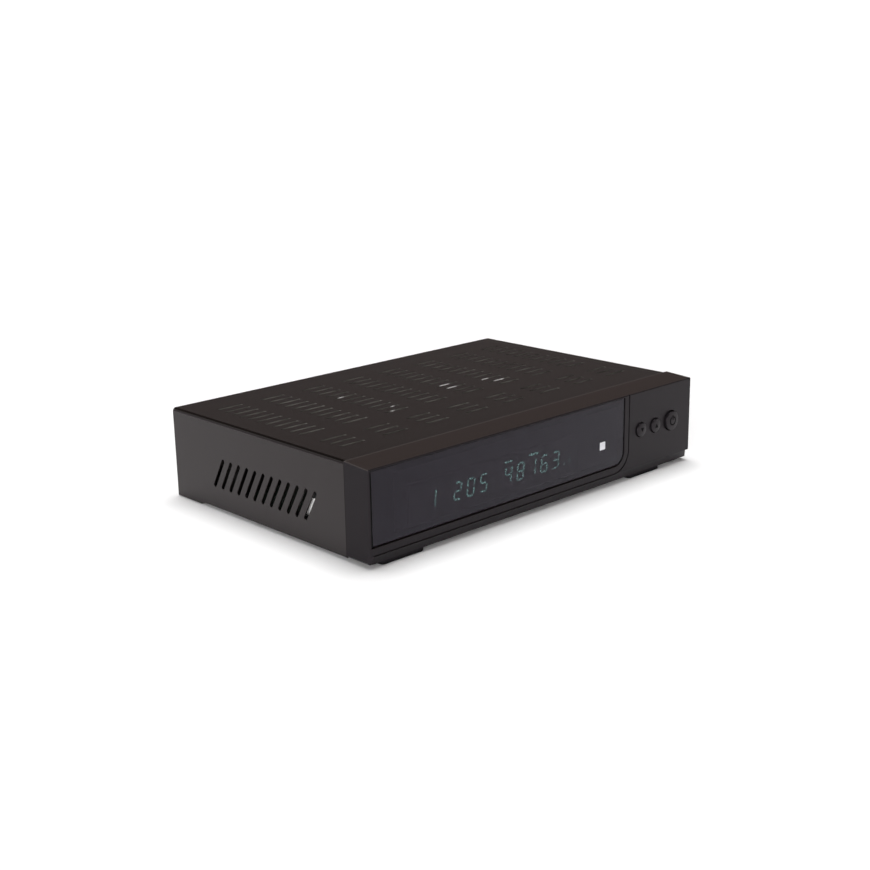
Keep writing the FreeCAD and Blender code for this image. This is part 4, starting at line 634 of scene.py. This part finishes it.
# Zinc oxide phosphor: pale blue-green. The grid in front makes it look grainy, at 0.5 mm here.
phosphor = grained("lit_phosphor", "#2A4A48", "#3A5E5A", rough=(0.7, 0.05), grain=(0.5, 0.01))
phosphor_tree = phosphor.node_tree
glow = add(phosphor_tree, "ShaderNodeMix", {"A": srgb("#6EA48F"), "B": srgb("#8CC4AE")},
           {"Factor": phosphor_tree.nodes["grain"].outputs["Fac"]}, data_type="RGBA")
phosphor_tree.links.new(glow.outputs["Result"], shader(phosphor).inputs["Emission Color"])
fill(shader(phosphor), {"Emission Strength": GLOW})
characters.data.materials.append(phosphor)
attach(characters, "case")
print("characters:", len(characters.data.polygons), "faces")

# %% Dim marks at the end of the line
DIM_ARROW_MIDDLE = (20.4 * MM, PHOSPHOR_Y, 20.8 * MM)
DIM_BAR_MIDDLE = (24.9 * MM, PHOSPHOR_Y, 22.0 * MM)
DIM_BAR_SIZE = (0.9 * MM, SEGMENT_THICK, 4.2 * MM)
DIM_GLOW = 2.6
deselect()
bpy.ops.mesh.primitive_cone_add(vertices=3, radius1=1.5 * MM, radius2=1.2 * MM, depth=SEGMENT_THICK,
                                location=DIM_ARROW_MIDDLE, rotation=(math.pi / 2, 0, 0))
dim_marks = bpy.context.object
dim_marks.name = "display_dim_marks"
settle(dim_marks)
dim_bar = slab("dim_bar", DIM_BAR_SIZE, DIM_BAR_MIDDLE)
bevel(dim_bar, "Y", 0.3 * MM, steps=2)
join(dim_marks, dim_bar)
# The same phosphor at a fraction of the current.
dim_phosphor = phosphor.copy()
dim_phosphor.name = "dim_phosphor"
fill(shader(dim_phosphor), {"Emission Strength": DIM_GLOW})
dim_marks.data.materials.append(dim_phosphor)
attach(dim_marks, "case")
print("dim marks:", len(dim_marks.data.polygons), "faces")

# %% [markdown]
# ## The tube round the characters
# The lid is soda-lime glass, the plate behind it dark glass with a printed insulating layer, the
# pins are plated iron and the strip behind is black foam. Through the smoked window they are hardly
# seen, yet the light that bounces between them is what makes the display look deep.

# %% Display glass, plate, pins, foam and receiver
# Soda-lime glass, IOR 1.52, polished by fire, its gloss changing slightly from place to place.
lid_glass = grained("pressed_soda_glass", "#F2F6F4", "#E9F0EC", rough=(0.008, 0.004),
                    grain=(9.0, 0.0), ior=1.52)
fill(shader(lid_glass), {"Transmission Weight": 1.0})
wear(lid_glass, "display_tube")
# The plate: dark insulating paste, screen printed, so slightly grainy.
anode_paste = grained("anode_plate_paste", "#0D0E10", "#141517", rough=(0.55, 0.05),
                      grain=(0.5, 0.01), ior=1.52)
wear(anode_paste, "display_anode_plate")
# Pins: iron-nickel strip, solder dipped, grey and soft in gloss.
dipped_pins = grained("solder_dipped_pins", "#A6A49F", "#8E8C88", rough=(0.38, 0.06),
                      grain=(0.6, 0.01), metallic=1.0)
wear(dipped_pins, "display_pins")
# Foam: black polyurethane with open cells of about 0.6 mm.
cell_foam = grained("polyurethane_foam", "#161616", "#202020", rough=(0.95, 0.03),
                    grain=(0.6, 0.20), ior=1.45)
wear(cell_foam, "display_foam_strip")
# Infrared receiver: epoxy dyed near black that only looks dark to the eye.
dyed_epoxy = grained("dyed_epoxy", "#120D12", "#181118", rough=(0.18, 0.03), grain=(3.0, 0.004),
                     ior=1.55)
wear(dyed_epoxy, "infrared_receiver")
print("display pieces done")

# %% [markdown]
# ## The mark on the window
# A small white square is screen printed on the window. Ink lies on the surface as a film a few
# hundredths of a millimetre thick, so it is a thin slab with rounded corners. Its face, which has
# been wiped often, is a touch greyer than its edge.

# %% White printed square
INK_THICK = 0.05 * MM
WINDOW_INK_Y = -89.975 * MM
MARK_X = 47.3 * MM
MARK_Z = 26.35 * MM
MARK_WIDE = 4.7 * MM
MARK_TALL = 4.6 * MM
window_mark = slab("window_mark", (MARK_WIDE, INK_THICK, MARK_TALL), (MARK_X, WINDOW_INK_Y, MARK_Z))
bevel(window_mark, "Y", 0.4 * MM, steps=3)
# Screen ink: opaque, flat, its mesh weave just visible as a 0.4 mm ripple.
white_ink = grained("white_screen_ink", "#F8F8FA", "#F2F2F5", rough=(0.55, 0.04),
                    grain=(0.4, 0.004), ior=1.48)
grey_ink = grained("grey_screen_ink", "#DCDCE0", "#D4D4D8", rough=(0.55, 0.04), grain=(0.4, 0.004),
                   ior=1.48)
window_mark.data.materials.append(white_ink)
window_mark.data.materials.append(grey_ink)
for face in window_mark.data.polygons:
    face.material_index = 1 if face.normal.y < -0.9 else 0
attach(window_mark, "case")
print("mark:", len(window_mark.data.polygons), "faces")

# %% [markdown]
# ## A black film on the signs, and painted shade along the window
# The signs cut into the caps are covered with a black film a little wider than the cut, which makes
# them read dark. The power sign is an open ring with a short bar in its gap; the other two caps
# carry an arrow head. The same film is painted shade along the window's left edge, where the gap
# between the plate and the moulding lies in shadow.

# %% The ring of the power sign
POWER_X = 110.8 * MM
UP_X = 95.6 * MM
DOWN_X = 82.0 * MM
BUTTON_ROW_Z = 29.0 * MM
RING_RADIUS = 2.45 * MM
RING_GAP_HALF = 1.2 * MM
INK_HALF_WIDE = 0.42 * MM
FILM_THICK = 0.12 * MM
POWER_INK_Y = -91.985 * MM
ARROW_INK_Y = -91.485 * MM
deselect()
bpy.ops.mesh.primitive_torus_add(major_radius=RING_RADIUS, minor_radius=INK_HALF_WIDE,
                                 major_segments=96, minor_segments=12)
power_sign = bpy.context.object
power_sign.name = "power_sign_ink"
power_sign.scale = (1, 1, FILM_THICK / (2 * INK_HALF_WIDE))
settle(power_sign)
pick(power_sign, "VERT", lambda point: abs(point.co.x) < RING_GAP_HALF and point.co.y > 0)
bpy.ops.mesh.delete(type="VERT")
bpy.ops.mesh.select_all(action="DESELECT")
bpy.ops.mesh.select_non_manifold(extend=False)
bpy.ops.mesh.fill_holes(sides=0)
bpy.ops.object.mode_set(mode="OBJECT")
print("open ring:", len(power_sign.data.polygons), "faces")

# %% Its bar and the two arrow heads
BAR_LOW = 0.5 * MM
BAR_HIGH = 3.3 * MM
ARROW_WIDE = 2.8 * MM
ARROW_TALL = 2.6 * MM
sign_bar = slab("sign_bar", (2 * INK_HALF_WIDE, BAR_HIGH - BAR_LOW, FILM_THICK),
                (0, (BAR_LOW + BAR_HIGH) / 2, 0))
bevel(sign_bar, "Z", 0.2 * MM, steps=3)
join(power_sign, sign_bar)
power_sign.rotation_euler = (math.pi / 2, 0, 0)
power_sign.location = (POWER_X, POWER_INK_Y, BUTTON_ROW_Z)
settle(power_sign)
signs = [(power_sign, "power_button")]
for name, x, pointing in (("up", UP_X, 1), ("down", DOWN_X, -1)):
    deselect()
    bpy.ops.mesh.primitive_circle_add(vertices=3, radius=1.0, fill_type="NGON")
    arrow = bpy.context.object
    arrow.name = name + "_sign_ink"
    # A circle of three corners is a triangle 1.5 tall and the root of three wide. The middle of its
    # height lies a sixth of that height above the circle's middle.
    arrow.scale = (ARROW_WIDE / math.sqrt(3), ARROW_TALL / 1.5, 1)
    settle(arrow)
    bpy.ops.object.mode_set(mode="EDIT")
    bpy.ops.mesh.select_all(action="SELECT")
    bpy.ops.mesh.extrude_region_move(TRANSFORM_OT_translate={"value": (0, 0, FILM_THICK)})
    bpy.ops.mesh.select_all(action="SELECT")
    bpy.ops.mesh.normals_make_consistent(inside=False)
    bevel(arrow, "Z", 0.15 * MM, steps=3)
    arrow.rotation_euler = (math.pi / 2, math.pi if pointing < 0 else 0.0, 0)
    arrow.location = (x, ARROW_INK_Y + FILM_THICK / 2, BUTTON_ROW_Z - ARROW_TALL / 6 * pointing)
    settle(arrow)
    signs.append((arrow, name + "_button"))
# A black film: matt, with hardly any mirror of its own.
black_film_and_gap_shade = grained("black_sign_film_and_gap_shade", "#050505", "#080808", rough=(0.80, 0.05), grain=(0.4, 0.006),
                    ior=1.48)
fill(shader(black_film_and_gap_shade), {"Specular IOR Level": 0.08})
for sign, body in signs:
    choose(sign)
    bpy.ops.object.shade_smooth_by_angle(angle=math.radians(30))
    sign.data.materials.append(black_film_and_gap_shade)
    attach(sign, body)
    print(sign.name, "is", [round(v / MM, 2) for v in sign.dimensions], "mm")

# %% Painted shade along the left edge of the window
# A dark strip painted where the gap between window and moulding lies in shadow.
GAP_SHADE_SIZE = (0.6 * MM, INK_THICK, 38.4 * MM)
GAP_SHADE_MIDDLE = (-128.35 * MM, WINDOW_INK_Y, 31.55 * MM)
gap_shade_strip = slab("painted_window_gap_shade", GAP_SHADE_SIZE, GAP_SHADE_MIDDLE)
bevel(gap_shade_strip, "Y", 0.15 * MM, steps=3)
gap_shade_strip.data.materials.append(black_film_and_gap_shade)
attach(gap_shade_strip, "case")
print("border:", len(gap_shade_strip.data.polygons), "faces")

# %% [markdown]
# ## Plated steel
# The tray is cut from zinc-coated strip, whose zinc froze in flat crystals a few millimetres
# across: cells of a Voronoi pattern give them, each with its own tone. The sockets and the tuner
# can are tin plated and brushed by handling, the screws are black zinc.

# %% Galvanised strip, tinned sheet, nickel, screws and stand-offs
# Zinc: a blue-grey metal, crystals about 6 mm across.
zinc_strip = grained("galvanised_strip", "#8F9396", "#7C8084", rough=(0.42, 0.06),
                     grain=(0.9, 0.006), metallic=1.0)
zinc_tree = zinc_strip.node_tree
crystals = add(zinc_tree, "ShaderNodeTexVoronoi", {"Scale": 1 / (6 * MM)},
               {"Vector": add(zinc_tree, "ShaderNodeTexCoord").outputs["Object"]})
crystal_tone = add(zinc_tree, "ShaderNodeSeparateColor", links={"Color": crystals.outputs["Color"]})
crystal_share = add(zinc_tree, "ShaderNodeMath", {1: 0.35}, {0: crystal_tone.outputs["Red"]},
                    operation="MULTIPLY")
tint(zinc_strip, crystal_share.outputs["Value"], "#A9ADB1")
wear(zinc_strip, "chassis_tray")
# Tin plate: warmer and softer than zinc, with rolling lines along its length, 0.3 mm drawn at 0.6.
ROLLED = (1.0, 0.15, 1.0)
tin_plate = grained("tin_plated_sheet", "#B4B2AC", "#9E9C96", rough=(0.30, 0.06),
                    grain=(0.6, 0.005), metallic=1.0, stretch=ROLLED)
wear(tin_plate, "av_socket_shell", "network_socket", "digital_video_socket", "serial_socket")
# The tuner can is the same tin, painted dull and dark as painted shade for the unlit inside of the
# case.
shade_darkened_tin = grained("tin_sheet_with_painted_shade", "#3C3B39", "#2E2D2B", rough=(0.55, 0.06),
                   grain=(0.6, 0.005), metallic=1.0, stretch=ROLLED)
wear(shade_darkened_tin, "tuner_can", "tuner_lid")
# Nickel on turned brass: bright, slightly yellow, with lathe lines across the axis.
nickel = grained("nickel_plated_brass", "#C9C2B6", "#B5AEA2", rough=(0.20, 0.04),
                 grain=(0.5, 0.004), metallic=1.0, stretch=(0.2, 1.0, 0.2))
wear(nickel, "radio_ports", "port_nuts", "phono_shells", "inlet_pins")
# Black zinc screws: passivated, so nearly black with a metal sheen.
black_zinc = grained("black_zinc_screws", "#3A3A3C", "#2C2C2E", rough=(0.36, 0.06),
                     grain=(0.5, 0.010), metallic=1.0)
wear(black_zinc, "case_screws", "board_screws", "front_board_screws")
# Stand-offs: turned steel, chemically blackened, with lathe lines round the axis.
black_oxide = grained("black_oxide_steel", "#242426", "#1A1A1C", rough=(0.42, 0.05),
                      grain=(0.5, 0.006), metallic=1.0, stretch=(0.2, 0.2, 1.0))
wear(black_oxide, "board_standoffs")
print("plated pieces done")

# %% [markdown]
# ## Boards and what they carry
# The main and front boards are glass-epoxy under a dark green solder mask; copper runs under the
# mask as slightly raised, slightly paler lines. The thin joints of a brick pattern give runs that
# turn square corners. The power board is single-sided phenolic paper, tan and faintly fibrous.

# %% Solder mask over copper
# The mask is kept near black, darker than most green masks: partly its own dark tone, partly
# painted shade for the unlit inside of the case.
solder_mask = grained("green_solder_mask", "#08120C", "#0A170F", rough=(0.32, 0.04),
                      grain=(0.7, 0.004), ior=1.55)
mask_tree = solder_mask.node_tree
# Copper runs: 0.25 mm wide on a real board, drawn 0.4 mm wide so that they show, in rows 2.54 mm
# apart. The pattern is counted in units of 10 mm.
runs = add(mask_tree, "ShaderNodeTexBrick",
           {"Color1": (0, 0, 0, 1), "Color2": (0, 0, 0, 1), "Mortar": (1, 1, 1, 1),
            "Scale": 1 / (10 * MM), "Mortar Size": 0.02, "Brick Width": 1.27, "Row Height": 0.254},
           {"Vector": add(mask_tree, "ShaderNodeTexCoord").outputs["Object"]}, offset=0.5,
           squash=1.0)
tint(solder_mask, runs.outputs["Fac"], "#0E2215")
emboss(solder_mask, runs.outputs["Fac"], depth_mm=0.03)
wear(solder_mask, "main_board", "front_board")
# Phenolic paper: tan, matt, with fibres a few millimetres long.
phenolic = grained("phenolic_paper", "#5A4426", "#6B5230", rough=(0.50, 0.05), grain=(0.9, 0.010),
                   ior=1.6, stretch=(1.0, 0.3, 1.0), drift_mm=8.0)
wear(phenolic, "power_board")
print("boards done")

# %% Parts on the boards
# Chip packages and key switches: silica-filled epoxy, matt from the mould.
chip_epoxy = grained("moulded_chip_epoxy", "#151516", "#1C1C1D", rough=(0.62, 0.05),
                     grain=(0.5, 0.012), ior=1.55)
wear(chip_epoxy, "board_chips", "key_switches", "power_transistor")
# Heat sinks: extruded aluminium, bare, with die lines that run up the fins.
extruded_aluminium = grained("extruded_aluminium", "#8E8F91", "#7A7B7D", rough=(0.40, 0.06),
                             grain=(0.7, 0.008), metallic=1.0, stretch=(1.0, 1.0, 0.1))
wear(extruded_aluminium, "processor_heatsink", "power_heatsink")
# Capacitors: a shrunk PVC sleeve, dark blue, over an aluminium can whose top is bare.
sleeve = grained("shrunk_pvc_sleeve", "#101A3A", "#16224A", rough=(0.28, 0.04), grain=(2.0, 0.01),
                 ior=1.53)
can_top = facing(sleeve, "Z", 0.95, 1.5, 0.02)
tint(sleeve, can_top, "#B9BBBD")
sleeve.node_tree.links.new(can_top, shader(sleeve).inputs["Metallic"])
wear(sleeve, "board_capacitors", "power_capacitors")
# Plug housings: black nylon, a little waxy.
nylon = grained("black_nylon", "#111112", "#181819", rough=(0.45, 0.04), grain=(1.0, 0.01),
                ior=1.53)
wear(nylon, "board_headers")
# Switch plungers: acetal, ivory, slippery.
acetal = grained("moulded_acetal", "#CFC6AE", "#C2B9A1", rough=(0.34, 0.04), grain=(0.8, 0.006),
                 ior=1.48)
wear(acetal, "power_switch_plunger", "up_switch_plunger", "down_switch_plunger")
print("parts on the boards done")

# %% Transformer and fuse
# Ferrite: sintered and ground, dark grey, with pores.
ferrite = grained("sintered_ferrite", "#2B2A2B", "#363536", rough=(0.58, 0.06), grain=(0.5, 0.020),
                  ior=2.2)
wear(ferrite, "transformer_core")
# Winding tape: yellow polyester, its overlaps every 8 mm. A wave texture of scale 1 repeats about
# every 0.32 m.
WAVE_REPEAT = 2 / math.tau
OVERLAP_PITCH = 8 * MM
tape = grained("polyester_tape", "#C79A1E", "#D6AA30", rough=(0.30, 0.05), grain=(1.2, 0.01),
               ior=1.57)
tape_tree = tape.node_tree
overlap = add(tape_tree, "ShaderNodeTexWave",
              {"Scale": WAVE_REPEAT / OVERLAP_PITCH, "Distortion": 0.4},
              {"Vector": add(tape_tree, "ShaderNodeTexCoord").outputs["Object"]},
              wave_type="BANDS", bands_direction="Y", wave_profile="SAW")
emboss(tape, overlap.outputs["Fac"], depth_mm=0.06)
wear(tape, "transformer_winding")
# Fuse: nickel-plated caps and clips, and between them a glass tube, seen pale grey.
GLASS_HALF = 5 * MM
fuse_low, fuse_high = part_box("mains_fuse")
fuse_middle = (fuse_low.y + fuse_high.y) / 2
fuse_finish = grained("fuse_caps_and_glass", "#C9C2B6", "#B5AEA2", rough=(0.20, 0.04),
                      grain=(0.6, 0.004), metallic=1.0)
glass_part = between(fuse_finish, axis_value(fuse_finish, "Y"), fuse_middle - GLASS_HALF,
                     fuse_middle + GLASS_HALF, 0.05 * MM)
tint(fuse_finish, glass_part, "#C7D0CE")
metal_part = add(fuse_finish.node_tree, "ShaderNodeMath", {0: 1.0}, {1: glass_part},
                 operation="SUBTRACT")
fuse_finish.node_tree.links.new(metal_part.outputs["Value"], shader(fuse_finish).inputs["Metallic"])
wear(fuse_finish, "mains_fuse")
print("transformer and fuse done")

# %% [markdown]
# ## Leads
# Hook-up leads are soft PVC. The front cable is a flat bundle of white leads moulded side by side,
# and shows as a bright strip behind the first slot in the side. The ridges between its leads are
# drawn as a wave across its width. The mains leads are brown.

# %% Lead sheaths
RIDGE_PITCH = 1.4 * MM
BUNDLE_SLOPE = math.radians(35)
white_pvc = grained("white_pvc_sheath", "#FCFBF9", "#F5F4F2", rough=(0.38, 0.04), grain=(1.0, 0.01),
                    ior=1.53)
pvc_tree = white_pvc.node_tree
# The bundle falls at a slope, so the wave is turned to run across its width.
across_bundle = add(pvc_tree, "ShaderNodeMapping", {"Rotation": (BUNDLE_SLOPE, 0, 0)},
                    {"Vector": add(pvc_tree, "ShaderNodeTexCoord").outputs["Object"]})
ridges = add(pvc_tree, "ShaderNodeTexWave", {"Scale": WAVE_REPEAT / RIDGE_PITCH},
             {"Vector": across_bundle.outputs["Vector"]}, wave_type="BANDS", bands_direction="Y")
emboss(white_pvc, ridges.outputs["Fac"], depth_mm=0.10)
# Both ends of the bundle are tinted near black, from one height to another in mm, so only the
# middle shows bright.
DARK_END_HEIGHTS = ((26.0, 60.0), (0.0, 14.8))
for low, high in DARK_END_HEIGHTS:
    tint(white_pvc, where(white_pvc, "Z", low, high, 0.15), "#0C0C0D")
wear(white_pvc, "front_cable")
supply_pvc = grained("supply_pvc_sheath", "#8C8B88", "#7F7E7B", rough=(0.40, 0.04),
                     grain=(1.0, 0.01), ior=1.53)
wear(supply_pvc, "power_cable")
brown_pvc = grained("brown_mains_sheath", "#4A2A18", "#57331E", rough=(0.40, 0.05),
                    grain=(1.0, 0.01), ior=1.53)
wear(brown_pvc, "mains_wires")
print("leads done")

# %% [markdown]
# ## Sockets at the back
# Socket bodies are glass-filled polyester: black, with a speckle where fibres reach the surface.
# Each phono jack has an insert in the colour of its signal. The thread on the two radio ports is
# the one thing that a smooth cylinder can't suggest, so these two are modelled anew.

# %% Plastics of the sockets
pbt = grained("glass_filled_pbt", "#131314", "#1B1B1C", rough=(0.46, 0.06), grain=(0.5, 0.012),
              ior=1.57)
wear(pbt, "av_socket_core", "phono_block", "socket_tongues", "mains_inlet", "mains_switch")
# The rocker is polished polycarbonate, glossier than its housing.
rocker_plastic = grained("polished_polycarbonate", "#0E0E0F", "#131314", rough=(0.18, 0.03),
                         grain=(3.0, 0.004), ior=1.58)
wear(rocker_plastic, "mains_rocker")
# Jack inserts: coloured polyethylene. Signal colours are pigment, so they are strong and flat.
INSERT_COLOURS = {"orange": ("#E0701C", "#D4661A"), "white": ("#E8E6E0", "#DDDBD5"),
                  "yellow": ("#E6BE1E", "#DBB21A"), "red": ("#B81D1D", "#AC1A1A")}
for colour, (tone, shade) in INSERT_COLOURS.items():
    insert = grained("moulded_insert_" + colour, tone, shade, rough=(0.34, 0.04),
                     grain=(1.0, 0.006))
    wear(insert, "phono_insert_" + colour)
natural = grained("moulded_insert_natural", "#D9D5CA", "#CDC9BE", rough=(0.36, 0.04),
                  grain=(1.0, 0.006))
wear(natural, "port_inserts")
# Network contacts: phosphor bronze wire with a flash of gold.
gold_flash = grained("gold_flashed_contacts", "#E0B860", "#D2A94F", rough=(0.24, 0.04),
                     grain=(0.5, 0.004), metallic=1.0)
wear(gold_flash, "network_contacts")
print("socket plastics done")

# %% Turned body of one radio port
PORT_XS = (-113.35 * MM, -96.35 * MM)
PORT_Z = 16.5 * MM
PORT_INNER = 79.15 * MM
PORT_OUTER = 92.05 * MM
PORT_BORE = 3.2 * MM
BORE_FLOOR = 0.5 * MM
THREAD_CREST = 4.76 * MM
THREAD_ROOT = 4.36 * MM


def turned(name, radius, outer):
    """A plain round body on the y axis, from the port's inner end to an outer one."""
    deselect()
    long = outer - PORT_INNER
    bpy.ops.mesh.primitive_cylinder_add(vertices=64, radius=radius, depth=long,
                                        location=(0, PORT_INNER + long / 2, 0),
                                        rotation=(math.pi / 2, 0, 0))
    made = bpy.context.object
    made.name = name
    settle(made)
    return made


port = turned("threaded_ports", THREAD_ROOT, PORT_OUTER)
pick(port, "FACE", lambda face: face.normal.y > 0.9)
# The rim: an inset ring, then the bore pushed back inside.
bpy.ops.mesh.inset(thickness=THREAD_ROOT - PORT_BORE, depth=0)
bore_move = (0, -(PORT_OUTER - PORT_INNER - BORE_FLOOR), 0)
bpy.ops.mesh.extrude_region_move(TRANSFORM_OT_translate={"value": bore_move})
bpy.ops.object.mode_set(mode="OBJECT")
print("port body:", len(port.data.polygons), "faces")

# %% The thread, one ridge wound along the body
# The standard thread for such ports has 32 turns to the inch: a pitch of 0.794 mm. The ridge is a
# closed triangle that the screw modifier winds round the axis. It starts past the nut and stops
# short of the rim, and its two ends are filled.
THREAD_PITCH = 25.4 / 32 * MM
THREAD_START = 82.98 * MM
THREAD_STOP = PORT_OUTER - 0.5 * MM
THREAD_STEPS = 48
RIDGE_FOOT = THREAD_ROOT - 0.05 * MM
thread_turns = int((THREAD_STOP - THREAD_START) / THREAD_PITCH)
deselect()
bpy.ops.mesh.primitive_circle_add(vertices=3, radius=THREAD_PITCH, fill_type="NOTHING")
ridge = bpy.context.object
corners = [(RIDGE_FOOT, 0.0), (THREAD_CREST, THREAD_PITCH * 0.5), (RIDGE_FOOT, THREAD_PITCH * 0.96)]
for corner, (reach, along) in zip(ridge.data.vertices, corners):
    corner.co = (reach, THREAD_START + along, 0)
winding = ridge.modifiers.new("winding", "SCREW")
winding.axis = "Y"
winding.angle = math.tau
winding.screw_offset = THREAD_PITCH
winding.iterations = thread_turns
winding.steps = THREAD_STEPS
winding.render_steps = THREAD_STEPS
winding.use_normal_calculate = True
bpy.ops.object.modifier_apply(modifier="winding")
bpy.ops.object.mode_set(mode="EDIT")
bpy.ops.mesh.select_mode(type="EDGE")
bpy.ops.mesh.select_all(action="DESELECT")
bpy.ops.mesh.select_non_manifold(extend=False)
bpy.ops.mesh.fill()
bpy.ops.mesh.select_all(action="SELECT")
bpy.ops.mesh.normals_make_consistent(inside=False)
bpy.ops.object.mode_set(mode="OBJECT")
print("thread:", thread_turns, "turns,", len(ridge.data.polygons), "faces")

# %% A plain collar where the port goes through its nut, then both ports as one piece
COLLAR_OUTER = 82.45 * MM
collar = turned("port_collar", THREAD_CREST - 0.02 * MM, COLLAR_OUTER)
bevel(collar, "Y", 0.15 * MM, steps=2, along=False)
join(port, ridge, collar)
second = copy_of(port)
for one, x in zip((port, second), PORT_XS):
    one.location = (x, 0, PORT_Z)
join(port, second)
settle(port)
bpy.ops.object.shade_smooth_by_angle(angle=math.radians(30))
port.data.materials.append(nickel)
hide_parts("radio_ports")
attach(port, "case")
print("ports:", len(port.data.polygons), "faces")

# %% [markdown]
# ## Marks on the mains rocker
# A mains rocker carries the two signs that every such switch has: a stroke for on and a ring for
# off. They are printed on the two slopes of its face. Each is made flat, laid on its slope as the
# rocker's own directions give it, and then turned about the pivot by the rocker's tilt.

# %% Stroke and ring
PIVOT = Vector((112.0, 77.85, 22.0)) * MM
REST_TILT = math.radians(10)
DIP_OUT = 3.1 * MM
CORNER_OUT = 4.4 * MM
CORNER_UP = 7.4 * MM
INK_LIFT = 0.02 * MM
RING_SQUASH = 0.07
slope_angle = math.atan2(CORNER_OUT - DIP_OUT, CORNER_UP)


def on_slope(piece, side):
    """Lays a flat mark made in the XY plane on the upper (1) or the lower (-1) slope."""
    face_out = (DIP_OUT + CORNER_OUT) / 2 + INK_LIFT
    face_up = side * CORNER_UP / 2
    tilt = Matrix.Rotation(-math.pi / 2 - side * slope_angle, 4, "X")
    seat = Matrix.Translation((0, face_out, face_up)) @ tilt
    turn = Matrix.Translation(PIVOT) @ Matrix.Rotation(REST_TILT, 4, "X")
    piece.matrix_world = turn @ seat
    settle(piece)


stroke = slab("rocker_marks", (0.8 * MM, 3.6 * MM, INK_THICK))
bevel(stroke, "Z", 0.2 * MM, steps=2)
on_slope(stroke, 1)
deselect()
bpy.ops.mesh.primitive_torus_add(major_radius=1.6 * MM, minor_radius=0.35 * MM, major_segments=48,
                                 minor_segments=12)
ring = bpy.context.object
ring.scale = (1, 1, RING_SQUASH)
settle(ring)
on_slope(ring, -1)
join(stroke, ring)
stroke.data.materials.append(white_ink)
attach(stroke, "mains_rocker")
print("rocker marks:", len(stroke.data.polygons), "faces")
